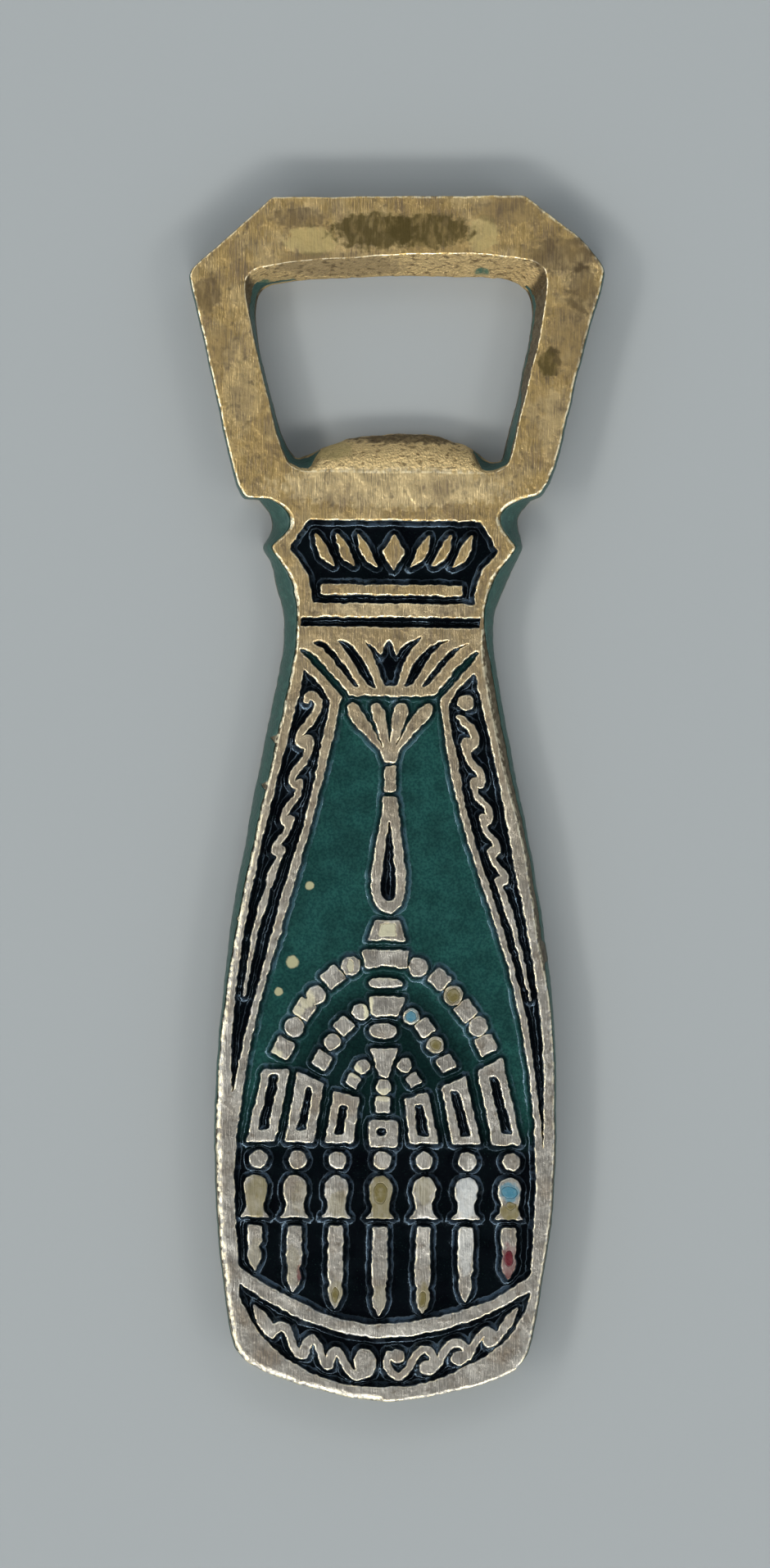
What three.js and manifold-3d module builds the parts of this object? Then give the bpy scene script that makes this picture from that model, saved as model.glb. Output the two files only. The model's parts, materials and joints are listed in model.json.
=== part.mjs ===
// Souvenir bottle opener: one brass casting with a cap window in its head and a flat
// front face, whose recesses are filled with enamel paint. Paint also coats the sides.
//
// Millimetres. X is the width, +Y points to the head and +Z out of the decorated face.
// The origin is on the flat back, under the middle of the part.
import * as THREE from "three";
import Module from "manifold-3d";

const wasm = await Module();
wasm.setup();

// ---- Driving dimensions ----
const THICKNESS = 4.5;
const RECESS_DEPTH = 1.0;
const ENAMEL_BELOW_FACE = 0.35;
const SPECK_POCKET = 0.3; // depth of the dips that still hold a speck of colour
const SPECK_BELOW_FACE = 0.03;
const FIT = 0.05; // clearance between an enamel body and the brass round it
const COAT = 0.15; // thickness of the paint on the sides and in the window
const COAT_MARGIN = 0.35; // bare brass between that paint and each face
const OVERCUT = 1; // how far a cutter runs past the face it opens
const CURVE_STEPS = 2; // straight pieces between two points of a smooth run
const BEAD_SIDES = 10;

// ---- Materials ----
const finish = (color, roughness, metalness = 0) =>
  new THREE.MeshStandardMaterial({ color, roughness, metalness });
const BRASS = finish(0xa88f60, 0.4, 1);
const GREEN = finish(0x1d4f47, 0.3);
const BLUE_BLACK = finish(0x0f1420, 0.25);
const TEAL = finish(0x2f6152, 0.4);
const SKY_BLUE = finish(0x4f8fa8, 0.4);
const OLIVE = finish(0x77703f, 0.45);
const RED = finish(0x6b1a22, 0.4);
const CREAM = finish(0xb8b088, 0.5);

// ---- Outlines ----
// A point is [x, y], or [x, y, spread] where the draft carries the side out by the back.
const at = (x, y, spread = 0) => new THREE.Vector3(x, y, spread);

// The points of a smooth run through the given ones.
function curve(...points) {
  const knots = points.map((point) => at(...point));
  const spline = new THREE.CatmullRomCurve3(knots, false, "centripetal");
  return spline.getPoints((points.length - 1) * CURVE_STEPS);
}

// A closed outline, counter-clockwise, from corners and smooth runs.
function outline(...parts) {
  const points = parts.flatMap((part) => (part[0].isVector3 ? part : [at(...part)]));
  return THREE.ShapeUtils.isClockWise(points) ? points.reverse() : points;
}

function oval(x, y, halfWidth, halfHeight, tilt = 0) {
  const points = [];
  for (let i = 0; i < BEAD_SIDES; i++) {
    const turn = (2 * Math.PI * i) / BEAD_SIDES;
    const across = at(halfWidth * Math.cos(turn), halfHeight * Math.sin(turn));
    points.push(across.applyAxisAngle(at(0, 0, 1), tilt).add(at(x, y)));
  }
  return points;
}

const bead = (x, y, radius) => oval(x, y, radius, radius);

// A four-sided tile from its top edge and its bottom edge: [xLeft, xRight, y] each.
function tile([topLeft, topRight, top], [bottomLeft, bottomRight, bottom]) {
  return outline([topLeft, top], [topRight, top], [bottomRight, bottom], [bottomLeft, bottom]);
}

// A square tile of the given side, turned to lie along a direction.
function turnedTile(x, y, side, tilt) {
  const half = side / 2;
  const corners = [at(-half, -half), at(half, -half), at(half, half), at(-half, half)];
  return corners.map((corner) => corner.applyAxisAngle(at(0, 0, 1), tilt).add(at(x, y)));
}

// A stroke along a smooth run of [x, y, half width].
function stroke(...points) {
  const middle = curve(...points);
  const left = [];
  const right = [];
  middle.forEach((point, i) => {
    const before = middle[Math.max(i - 1, 0)];
    const after = middle[Math.min(i + 1, middle.length - 1)];
    const along = at(after.x - before.x, after.y - before.y).normalize();
    const across = at(-along.y, along.x).multiplyScalar(point.z);
    left.push(at(point.x + across.x, point.y + across.y));
    right.push(at(point.x - across.x, point.y - across.y));
  });
  return outline(left, right.reverse());
}

// The outline moved inwards by a distance, or outwards by a negative one.
function inset(points, distance) {
  const sharpest = 0.35; // keeps the mitre of a thin tip short
  return points.map((point, i) => {
    const before = points[(i + points.length - 1) % points.length];
    const after = points[(i + 1) % points.length];
    const first = at(before.y - point.y, point.x - before.x).normalize();
    const second = at(point.y - after.y, after.x - point.x).normalize();
    const reach = distance / Math.max(1 + first.dot(second), sharpest);
    return at(
      point.x + (first.x + second.x) * reach,
      point.y + (first.y + second.y) * reach,
      point.z,
    );
  });
}

// ---- Solids ----
const lifted = (points, z) => points.map((point) => at(point.x, point.y, z));

// A solid through sections with equal numbers of points, from the lowest to the highest.
function loft(sections) {
  const count = sections[0].length;
  const last = (sections.length - 1) * count;
  const cap = (section) => THREE.ShapeUtils.triangulateShape(section, []);
  const faces = cap(sections[0]).map(([a, b, c]) => [a, c, b]);
  faces.push(...cap(sections.at(-1)).map((face) => face.map((i) => i + last)));
  for (let base = 0; base < last; base += count) {
    for (let i = 0; i < count; i++) {
      const next = (i + 1) % count;
      faces.push([base + i, base + next, base + count + next]);
      faces.push([base + i, base + count + next, base + count + i]);
    }
  }
  const vertProperties = new Float32Array(sections.flat().flatMap((p) => [p.x, p.y, p.z]));
  const triVerts = new Uint32Array(faces.flat());
  return new wasm.Manifold(new wasm.Mesh({ numProp: 3, vertProperties, triVerts }));
}

const prism = (points, low, high) => loft([lifted(points, low), lifted(points, high)]);
const joined = (solids) => solids.reduce((sum, solid) => sum.add(solid));

function meshOf(name, solid, material) {
  const { vertProperties, triVerts } = solid.getMesh();
  const geometry = new THREE.BufferGeometry();
  geometry.setAttribute("position", new THREE.BufferAttribute(vertProperties, 3));
  geometry.setIndex(new THREE.BufferAttribute(triVerts, 1));
  geometry.computeVertexNormals();
  const mesh = new THREE.Mesh(geometry, material);
  mesh.name = name;
  return mesh;
}

// ---- The side of the casting ----
// Shoulders and head, the finger notch with its barb, then neck, handle and bottom.
const RIGHT_SIDE = [
  curve([13.9, 67, 0.1], [18, 64, 0.2], [20.6, 61.9, 0.2], [22.5, 59.6, 0.2]),
  [23, 58.6, 0.2],
  [20.2, 48, 0.2],
  [17.5, 36.5, 0.3],
  [16.1, 33.8, 0.4],
  curve([14, 33.2, 1.2], [12.6, 32.6, 2], [11.6, 31.6, 2.3], [11.5, 30.6, 2.3], [12.4, 29.2, 1.7]),
  [13.6, 28, 0.8],
  curve(
    ...[[12.7, 26.6, 1.1], [11.5, 25.2, 1.6], [10.7, 23.8, 1.8], [10.2, 22, 1.5], [10, 20, 1.2]],
    ...[[10.1, 15, 1.4], [12.1, 5, 1.3], [14.7, -5, 0.8], [16.4, -15, 0.9], [17.9, -22.5, 0.4]],
    ...[[18.5, -31, 0.3], [18.4, -44, 0.3], [17.6, -51.5, 0.3], [16.3, -59.5, 0.3]],
  ),
  curve([15.6, -61.9, 0.3], [14.6, -63.3, 0.2], [10, -65.2, 0.1], [4, -66.6], [0, -67]),
];
const LEFT_SIDE = [
  curve([-4, -66.6], [-10, -65, 0.1], [-15.1, -62.9, 0.2], [-16.4, -61.3, 0.3]),
  curve(
    ...[[-16.9, -59.5, 0.3], [-18.2, -50, 0.3], [-18.9, -38, 0.3], [-18.6, -28, 0.3]],
    ...[[-17.9, -21, 0.4], [-16.6, -13, 0.9], [-15, -5, 1.1], [-13.7, 1, 1.4]],
    ...[[-11.7, 10.5, 1.6], [-10.7, 16, 1.6], [-10.5, 20.2, 1.7], [-10.6, 22, 2.1]],
    ...[[-11, 23.6, 2.2], [-11.7, 25, 1.7], [-12.6, 26.2, 1.2]],
  ),
  [-13.6, 27.6, 1.1],
  curve([-12.2, 28.8, 1.8], [-11.2, 30.1, 2.4], [-11.5, 31.3, 2.4], [-12.8, 32.5, 2], [-14, 33, 1.2]),
  [-16.5, 33.1, 0.4],
  [-17.3, 34.5, 0.3],
  [-20, 45.2, 0.2],
  [-23, 57.8, 0.2],
  [-22.4, 58.6, 0.2],
  [-14, 66.4, 0.1],
];
const SIDE = outline(...RIGHT_SIDE, ...LEFT_SIDE);

// The side's outline at a height: the draft opens it evenly from the front to the back.
function sideAt(z) {
  const share = 1 - z / THICKNESS;
  return SIDE.map((point) => at(point.x + Math.sign(point.x) * point.z * share, point.y, z));
}

const blank = () => loft([sideAt(0), sideAt(THICKNESS)]);

function sideCoat() {
  const low = COAT_MARGIN;
  const high = THICKNESS - COAT_MARGIN;
  const shell = (distance) => [low, high].map((z) => lifted(inset(sideAt(z), -distance), z));
  const core = shell(FIT);
  core.unshift(lifted(core[0], low - OVERCUT));
  core.push(lifted(core.at(-1), high + OVERCUT));
  return loft(shell(FIT + COAT)).subtract(loft(core));
}

// ---- The cap window ----
// Runs of [front point, back point], counter-clockwise from the top left corner. The
// lip is the tongue that the casting pushes out under the cap.
const WINDOW_RUNS = {
  topLeft: [
    ...[[[-15.5, 58.5], [-14, 57]], [[-16.7, 57.6], [-15.2, 56.2]], [[-16.9, 56.4], [-15.7, 54.6]]],
  ],
  left: [[[-16, 51.5], [-15.3, 50]], [[-14.2, 44], [-13.7, 43.6]]],
  bottomLeft: [
    ...[[[-12.6, 38.5], [-12, 39]], [[-11.8, 36.8], [-11, 37.8]], [[-10.2, 36.1], [-10.3, 38]]],
  ],
  lip: [
    ...[[[-8, 36.1], [-8, 38.9]], [[-5, 36.1], [-5, 40]], [[0, 36.1], [0, 40.6]]],
    ...[[[4.5, 36.1], [4.5, 40.4]], [[8.5, 36.1], [8.5, 39.1]]],
  ],
  bottomRight: [
    ...[[[11, 36.1], [10.5, 37.6]], [[12.5, 37], [11.8, 37.7]], [[13.1, 38.9], [12.2, 39.2]]],
  ],
  right: [[[14.2, 44], [13.4, 44]], [[15.8, 51], [14.7, 51]]],
  topRight: [
    ...[[[16.7, 57.2], [15.1, 54.5]], [[16.4, 58.8], [14.6, 56.5]], [[15, 59.7], [12.8, 57.8]]],
  ],
  top: [[[8, 60.4], [8, 58.1]], [[0, 60.2], [0, 58.2]], [[-10, 59.4], [-9, 57.7]]],
};
const DOME_DEPTHS = [0, 0.1, 0.25, 0.5, 1]; // shares of the thickness, from the front

// The window's outline at a depth: straight walls, and a lip that domes over.
function windowAt(depth, names = Object.keys(WINDOW_RUNS)) {
  const dome = Math.sqrt(1 - (1 - depth) ** 2);
  return names.flatMap((name) => {
    const share = name === "lip" ? dome : depth;
    const between = ([front, back]) => [
      THREE.MathUtils.lerp(front[0], back[0], share),
      THREE.MathUtils.lerp(front[1], back[1], share),
    ];
    return curve(...WINDOW_RUNS[name].map(between));
  });
}

function windowCutter() {
  const sections = DOME_DEPTHS.map((depth) => lifted(windowAt(depth), THICKNESS * (1 - depth)));
  sections.unshift(lifted(sections[0], THICKNESS + OVERCUT));
  sections.push(lifted(sections.at(-1), -OVERCUT));
  return loft(sections.reverse());
}

// The paint on one side wall of the window, between two of its corners.
function windowCoat(names) {
  const all = Object.keys(WINDOW_RUNS);
  const from = windowAt(0, all.slice(0, all.indexOf(names[0]))).length;
  const until = from + windowAt(0, names).length;
  const strip = (depth) => {
    const wall = windowAt(depth);
    const outer = inset(wall, FIT).slice(from, until);
    const inner = inset(wall, FIT + COAT).slice(from, until);
    return lifted([...outer, ...inner.reverse()], THICKNESS * (1 - depth));
  };
  const depths = DOME_DEPTHS.slice(1);
  depths.splice(-1, 1, 1 - COAT_MARGIN / THICKNESS);
  return loft(depths.reverse().map(strip));
}

// ---- Front face: cartouche, groove and lotus fan ----
const CARTOUCHE = outline(
  [-9.5, 30.7], [-11.6, 27.5], [-9.4, 24.4], [-9, 21.5],
  [9, 21.5], [9.4, 24.4], [11.6, 27.5], [9.5, 30.7],
);
const UNDERLINE = tile([-8.1, 7.7, 23.6], [-8.1, 7.7, 22.4]);
const SPRIG_LEAVES = [2.9, 5.3, 7.6];

// A plain sprig, the same on both sides of a diamond.
function sprig() {
  const diamond = outline([0, 29.3], [1.3, 27.2], [0, 25.1], [-1.3, 27.2]);
  const leaf = (x) => {
    const lean = Math.sign(x) * 1.1;
    return stroke([x - lean, 25.6, 0.08], [x, 26.8, 0.55], [x + lean * 0.5, 28, 0.5], [x + lean, 29.2, 0.08]);
  };
  return [diamond, ...SPRIG_LEAVES.flatMap((x) => [leaf(x), leaf(-x)])];
}

const GROOVE = outline([-10.3, 18.9], [9.85, 18.85], [9.85, 20], [-10.3, 19.9]);
const LOTUS_SLOTS = {
  lotus_slot_outer_left: outline(
    curve([-8.9, 17.1], [-8.1, 17.3], [-6.6, 16.2], [-5, 14.1], [-3.7, 12.2]),
    curve([-4.2, 12.3], [-5.1, 13.2], [-6.5, 15], [-7.8, 16.5]),
  ),
  lotus_slot_inner_left: outline(
    curve([-6.2, 17.4], [-5.4, 17.3], [-4.2, 16.4], [-3, 14.8], [-1.7, 12.1]),
    curve([-2.4, 12.3], [-3.3, 13.2], [-4.3, 14.8], [-5.2, 16.2]),
  ),
  lotus_slot_centre: outline(
    curve([-3.2, 17.4], [-2.1, 16.6], [-1.3, 15.7]),
    curve([-0.9, 16.6], [-0.5, 17.5], [0, 16.6]),
    curve([0.4, 15.7], [1.3, 16.9], [3.4, 17.8]),
    curve([2, 16.3], [1.2, 14.7], [0.5, 12.4]),
    [-0.8, 12.4],
    curve([-1.3, 13.6], [-1.9, 15.2], [-2.5, 16.4]),
  ),
  lotus_slot_inner_right: outline(
    curve([6.3, 17.6], [4.7, 17.1], [3, 15.7], [2.1, 14.3], [1.3, 12.2]),
    curve([2.1, 12.5], [3.2, 14], [4.2, 15.8], [5.4, 17]),
  ),
  lotus_slot_outer_right: outline(
    curve([8.5, 17.1], [6.8, 16.6], [5.3, 15.2], [4.2, 13.6], [3.2, 12.3]),
    curve([3.9, 12.4], [4.9, 13.6], [6.1, 15.2], [7.5, 16.6]),
  ),
};

// ---- Front face: the two long side panels with their wave scrolls ----
const LEFT_PANEL = outline(
  [-9.8, 14.2],
  curve([-10.4, 11], [-11.6, 6], [-14.2, -5], [-16.5, -18], [-17.3, -28], [-17.2, -33.1]),
  curve([-16.1, -27.5], [-14.5, -21], [-11.3, -8.5], [-9.6, -3], [-8.3, 3], [-7, 10.4]),
  [-8, 12.3],
);
const RIGHT_PANEL = outline(
  [9.1, 13.9],
  curve([9.7, 11.5], [11.7, 3], [13.7, -7], [16.1, -19], [17.2, -28], [17.4, -38.8]),
  curve([16.7, -33], [15.5, -25], [12.5, -14], [10.3, -7.5], [8.6, -2], [6.4, 10.2]),
  [7.3, 12],
);
const LEFT_SCROLL = [
  stroke([-9.5, 10.3, 0.35], [-9.4, 11, 0.45], [-8.8, 11.2, 0.45], [-8.2, 10.6, 0.45], [-8.3, 9.5, 0.45],
    [-9.2, 8.1, 0.45], [-10.15, 6.9, 0.42], [-10.35, 6.1, 0.35], [-9.9, 5.6, 0.3], [-9.3, 5.6, 0.3]),
  bead(-9.3, 6.1, 0.75),
  stroke([-9, 6, 0.45], [-9.4, 4.4, 0.4], [-10.6, 2.8, 0.45], [-11, 1.6, 0.4], [-10.3, 1.1, 0.4]),
  bead(-10.1, 1.5, 0.5),
  stroke([-10, 1.4, 0.35], [-10.5, -0.1, 0.35], [-11.5, -1.4, 0.4], [-12, -2.6, 0.4], [-11.4, -3.1, 0.35]),
  bead(-11.1, -2.6, 0.55),
  stroke([-11, -2.8, 0.35], [-11.6, -4.1, 0.35], [-12.6, -5.4, 0.4], [-12.8, -6.2, 0.4], [-12.2, -6.5, 0.35]),
  bead(-12.1, -6, 0.5),
  stroke([-12, -6, 0.3], [-12.5, -7.3, 0.3], [-13.2, -8.9, 0.55], [-13.5, -10.4, 0.3], [-14, -12, 0.5],
    [-14.5, -13.6, 0.35], [-15.2, -17, 0.3], [-16, -22.2, 0.12]),
];
const RIGHT_SCROLL = [
  bead(8.2, 10.6, 0.95),
  stroke([7.2, 9.2, 0.2], [8.1, 8.5, 0.45], [9.1, 7.2, 0.45], [9.3, 6.1, 0.45], [8.7, 5.7, 0.45]),
  bead(8.5, 5.9, 0.85),
  stroke([8.2, 5.8, 0.45], [8.7, 4.2, 0.4], [9.8, 2.9, 0.45], [10.1, 1.8, 0.4], [9.6, 1.3, 0.4]),
  bead(9.3, 1.8, 0.65),
  stroke([9.1, 1.7, 0.4], [9.6, 0.2, 0.35], [10.7, -1, 0.4], [11, -2.2, 0.4], [10.5, -2.7, 0.35]),
  bead(10.3, -2.2, 0.55),
  stroke([10.2, -2.3, 0.35], [10.7, -3.8, 0.35], [11.6, -4.8, 0.4], [11.9, -5.8, 0.35], [11.4, -6.2, 0.35]),
  bead(11.2, -5.8, 0.5),
  stroke([11.1, -5.9, 0.3], [11.6, -7.1, 0.35], [12.5, -8.2, 0.4], [12.8, -9.1, 0.4], [12.3, -9.5, 0.35]),
  bead(12.1, -9.1, 0.5),
  stroke([12, -9.2, 0.3], [12.7, -11, 0.35], [13.2, -12.4, 0.45], [13.8, -14.3, 0.3], [14.9, -18.5, 0.25],
    [15.8, -22.4, 0.12]),
];

// ---- Front face: the field with the stem and the seven-branched candlestick ----
const FIELD_ARM_LEFT = stroke([-10.2, 16.4, 0.12], [-8.9, 15.3, 0.4], [-7, 13.3, 0.4], [-4.9, 10.9, 0.4]);
const FIELD_ARM_RIGHT = stroke([9.5, 16.2, 0.12], [8.4, 15.2, 0.4], [6.6, 13, 0.4], [4.9, 11, 0.4]);
const FIELD = outline(
  curve([-4.7, 11.2], [0, 11.2], [4.7, 11.3]),
  [5.3, 10.9],
  curve([5.9, 6.5], [6.9, 1.5], [8.6, -4.8], [12.7, -17], [14.5, -24], [15.9, -32], [16.6, -43], [16.1, -53]),
  curve([12, -55.5], [8, -57], [0, -58.4], [-5, -57.9], [-9, -56.3], [-13.5, -54]),
  curve([-16.2, -52.2], [-16.8, -43], [-16.5, -36.5], [-14.7, -25], [-12.3, -16], [-8.8, -3], [-6.5, 6.5]),
  [-5.7, 10.8],
);
const FLOWER = outline(
  [-0.85, 3.85],
  curve([-1.1, 4.9], [-2.5, 6.4], [-4.6, 8.7], [-5, 9.9], [-4.3, 10.5], [-3.6, 9.9], [-0.85, 5.5]),
  curve([-2.2, 9.2], [-2.3, 10.2], [-1.6, 10.5], [-0.9, 9.6], [-0.15, 5.9]),
  curve([0.1, 9.5], [0.5, 10.3], [1.4, 10.5], [1.8, 9.7], [0.5, 5.7]),
  curve([2.4, 9.1], [3.4, 10.3], [4.4, 10.4], [4.3, 9.2], [2.3, 6.9], [0.9, 5.1]),
  [0.6, 3.85],
);
const COLLAR = tile([-0.75, 0.6, 3.5], [-0.75, 0.6, 0.6]);
const TEARDROP = outline(
  [-0.85, 0.1],
  curve(
    ...[[-1.1, -2.3], [-1.7, -6], [-2.1, -9.5], [-1.5, -12], [0, -12.9]],
    ...[[1.3, -12], [1.8, -9.5], [1.4, -5.5], [0.75, 0.1]],
  ),
);
const TEARDROP_SLOT = outline(
  [-0.1, -2.5],
  curve([-0.5, -5], [-0.9, -9], [-0.8, -11], [-0.15, -11.6], [0.6, -10.9], [0.6, -8.5], [0.2, -5]),
);
const FOOT = tile([-1.5, 1.1, -13.6], [-2.4, 1.9, -15.9]);
const STACK = [
  outline([-3, -16.9], [2.2, -16.9], [2.1, -19], [-0.3, -18.7], [-2.6, -19]),
  oval(-0.35, -20.6, 1.95, 0.6),
  tile([-2.2, 1.9, -22.1], [-1.8, 1.1, -24.3]),
  oval(-0.5, -25.9, 1.6, 0.85),
  tile([-2, 1.1, -27.8], [-0.9, 0.2, -31]),
  bead(-0.4, -32.1, 0.9),
  tile([-1.3, 0.4, -33.2], [-1.3, 0.4, -35]),
  tile([-2, 1.2, -35.8], [-2, 1.2, -38.8]),
];
const CENTRE_SLOT = tile([-1.1, 0, -36.7], [-1.1, 0, -37.5]);

// Each branch runs from its top to its end; beads and square tiles take turns along it.
const BRANCHES = [
  {
    tile: 2.1,
    bead: 1.1,
    path: [[-4.2, -18.7], [-6.2, -20], [-8, -22], [-9.3, -23.6], [-10.4, -25.6], [-11.6, -27.9]],
  },
  {
    tile: 2.1,
    bead: 1.1,
    path: [[3.3, -18.8], [5.7, -20.1], [7.2, -21.9], [8.6, -23.6], [10, -25.3], [10.9, -27.3]],
  },
  { tile: 1.8, bead: 0.95, path: [[-3.1, -23.8], [-4.9, -25.4], [-6.2, -27.2], [-7.3, -29.2]] },
  { tile: 1.8, bead: 0.95, path: [[2.6, -24.3], [4.1, -25.5], [5.3, -27.4], [6.5, -29.4]] },
  { tile: 1.4, bead: 0.85, path: [[-2.8, -29.9], [-3.8, -31.5]] },
  { tile: 1.4, bead: 0.85, path: [[1.9, -29.7], [2.9, -31.3]] },
];

function branchIslands({ tile: side, bead: radius, path }) {
  return path.map(([x, y], i) => {
    if (i % 2 === 0) return bead(x, y, radius);
    const [x0, y0] = path[i - 1];
    const [x1, y1] = path[i + 1] ?? path[i];
    return turnedTile(x, y, side, Math.atan2(y1 - y0, x1 - x0));
  });
}

// The six arm panels, each with a closed slot: the branches end on them.
const ARM_BOTTOM = -38.4;
const ARMS = [
  { top: [-13.8, -10.8, -30.3], slant: 0.1, foot: [-15.6, -12.4] },
  { top: [-10, -7, -31.15], slant: -1.3, foot: [-11.3, -8.1] },
  { top: [-5.9, -3, -33], slant: -0.8, foot: [-6.9, -3.7] },
  { top: [1.9, 4.6, -33], slant: 0.8, foot: [2.6, 5.8] },
  { top: [6, 8.7, -31.4], slant: 1.2, foot: [7.3, 10.5] },
  { top: [10, 12.7, -29.4], slant: 1.6, foot: [11.7, 15] },
];
const ARM_SLOTS = [
  tile([-13, -12, -30.9], [-14.3, -13.2, -37]),
  tile([-9, -8.3, -32.3], [-10, -8.9, -37]),
  tile([-5.2, -4.3, -34.2], [-5.8, -4.8, -37.5]),
  tile([3.1, 4, -34], [3.4, 4.7, -37.6]),
  tile([7, 7.9, -32.4], [8.2, 9.4, -37.5]),
  tile([11.3, 12.2, -30.9], [12.7, 14, -37.2]),
];

function armPanel({ top: [left, right, y], slant, foot: [footLeft, footRight] }) {
  const lean = slant / 2;
  return outline(
    [left, y - lean],
    [right, y + lean],
    [footRight, ARM_BOTTOM],
    [footLeft, ARM_BOTTOM],
  );
}

// Seven lights: a bead, a cup and a candle with a pointed flame.
const LIGHT_Y = { bead: -40.3, cupTop: -42, candleTop: -47.6 };
const LIGHTS = [
  { x: -14.5, beadX: -14.2, tip: -52.7 },
  { x: -10.1, beadX: -9.8, tip: -55.1 },
  { x: -5.5, beadX: -5.4, tip: -56.9 },
  { x: -0.6, beadX: -0.5, tip: -57.6 },
  { x: 4.2, beadX: 4.2, tip: -57.3 },
  { x: 8.9, beadX: 9, tip: -56 },
  { x: 13.7, beadX: 13.9, tip: -53.5 },
];
const CUP_TOP = [0, 0];
const CUP_SIDE = [[0.85, -0.3], [1.3, -1.2], [1.2, -2.2], [0.95, -3.2], [1.15, -4.1], [1.7, -4.7]];
const CANDLE = { half: 0.8, neck: 0.6, flame: 2.9 };

// An outline with the same side to the left and the right of x, and a point between them.
function balanced(x, y, [middleX, middleY], side) {
  const right = side.map(([half, up]) => [x + half, y + up]);
  const left = side.map(([half, up]) => [x - half, y + up]);
  return outline([x + middleX, y + middleY], ...right, ...left.reverse());
}

const cup = (x) => balanced(x, LIGHT_Y.cupTop, CUP_TOP, CUP_SIDE);

function candle(x, tip) {
  const { half, neck, flame } = CANDLE;
  const flameSide = [[half * 0.75, 1], [half, flame - 1], [neck, flame], [half, flame + 0.4]];
  return balanced(x, tip, [0, 0], [...flameSide, [half, LIGHT_Y.candleTop - tip]]);
}

const FIELD_ISLANDS = [
  ...[FLOWER, COLLAR, TEARDROP, FOOT],
  ...STACK,
  ...BRANCHES.flatMap(branchIslands),
  ...ARMS.map(armPanel),
  ...LIGHTS.flatMap(({ x, beadX, tip }) => [bead(beadX, LIGHT_Y.bead, 1.02), cup(x), candle(x, tip)]),
];

// ---- Front face: the crescent with its wave scroll ----
const CRESCENT = outline(
  curve([-16.2, -54.1], [-12, -56.6], [-7, -58.8], [0, -60], [8, -58.5], [13, -56.4], [16.1, -54.6]),
  curve(
    ...[[15.9, -56], [13.6, -60], [9, -63], [5, -64.8], [0, -65.4]],
    ...[[-5, -65], [-9.5, -63.1], [-13.5, -60], [-16, -55.8]],
  ),
);
const CRESCENT_SCROLL = [
  stroke([-14.5, -56.5, 0.15], [-13.7, -57.8, 0.65], [-12.6, -59.4, 0.7], [-12.1, -60, 0.3]),
  stroke([-12.3, -59.4, 0.5], [-11.6, -58.7, 0.55], [-10.8, -59.2, 0.5], [-10, -61.2, 0.45],
    [-9.3, -62.2, 0.35]),
  stroke([-9.6, -61.9, 0.3], [-9, -62, 0.6], [-8.5, -60.6, 0.55], [-8, -60.1, 0.5], [-7.4, -60.6, 0.45],
    [-6.9, -62.2, 0.4], [-6.3, -63.3, 0.4]),
  stroke([-6.6, -63.1, 0.3], [-6.1, -63.1, 0.5], [-5.8, -61.9, 0.5], [-5.4, -61.4, 0.5], [-4.8, -61.9, 0.45],
    [-4, -63.4, 0.45], [-3, -64.2, 0.4], [-2.2, -64.2, 0.3]),
  oval(-2.1, -62.8, 1.25, 1.75),
  bead(1.5, -62, 0.85),
  stroke([0.6, -61.4, 0.3], [0.35, -62.7, 0.45], [0.8, -63.8, 0.45], [1.7, -64.2, 0.45], [2.6, -63.5, 0.45],
    [3.5, -61.9, 0.45], [4.5, -61.1, 0.45], [5.4, -61.7, 0.45], [5.5, -62.6, 0.4]),
  oval(4.9, -63.2, 1, 0.85),
  stroke([5.6, -63.3, 0.35], [6.4, -62, 0.45], [7.3, -60.7, 0.45], [8.3, -60.4, 0.5], [9.1, -61, 0.45],
    [9.1, -61.8, 0.4]),
  oval(8.4, -62.1, 1, 0.8),
  stroke([9.2, -62.2, 0.35], [10, -60.6, 0.42], [10.7, -59.4, 0.4], [11.5, -58.9, 0.38], [12.4, -59.5, 0.3]),
  oval(11.8, -60.1, 0.95, 0.8),
  stroke([12.1, -60.4, 0.35], [13.2, -58.9, 0.55], [14, -57.6, 0.5], [14.7, -56.4, 0.12]),
];

// ---- The enamel pools ----
const pool = (name, material, outlines, islands = []) => ({ name, material, outlines, islands });
const POOLS = [
  pool("enamel_cartouche", BLUE_BLACK, [CARTOUCHE], [UNDERLINE, ...sprig()]),
  pool("enamel_groove", BLUE_BLACK, [GROOVE]),
  ...Object.entries(LOTUS_SLOTS).map(([name, slot]) => pool("enamel_" + name, BLUE_BLACK, [slot])),
  pool("enamel_field", GREEN, [FIELD, FIELD_ARM_LEFT, FIELD_ARM_RIGHT], FIELD_ISLANDS),
  pool("enamel_left_panel", BLUE_BLACK, [LEFT_PANEL], LEFT_SCROLL),
  pool("enamel_right_panel", BLUE_BLACK, [RIGHT_PANEL], RIGHT_SCROLL),
  pool("enamel_teardrop_slot", BLUE_BLACK, [TEARDROP_SLOT]),
  ...ARM_SLOTS.map((slot, i) => pool("enamel_arm_slot_" + (i + 1), BLUE_BLACK, [slot])),
  pool("enamel_centre_slot", BLUE_BLACK, [CENTRE_SLOT]),
  pool("enamel_crescent", BLUE_BLACK, [CRESCENT], CRESCENT_SCROLL),
];

// The solid of a pool between two heights, its walls moved inwards by a clearance.
function poolSolid({ outlines, islands }, clearance, low, high) {
  const body = joined(outlines.map((points) => prism(inset(points, clearance), low, high)));
  if (!islands.length) return body;
  const cut = (points) => prism(inset(points, -clearance), low - OVERCUT, high + OVERCUT);
  return body.subtract(joined(islands.map(cut)));
}

const FLOOR = THICKNESS - RECESS_DEPTH;
const poolCutter = (each) => poolSolid(each, 0, FLOOR, THICKNESS + OVERCUT);
const poolEnamel = (each) => poolSolid(each, FIT, FLOOR + FIT, THICKNESS - ENAMEL_BELOW_FACE);

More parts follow.
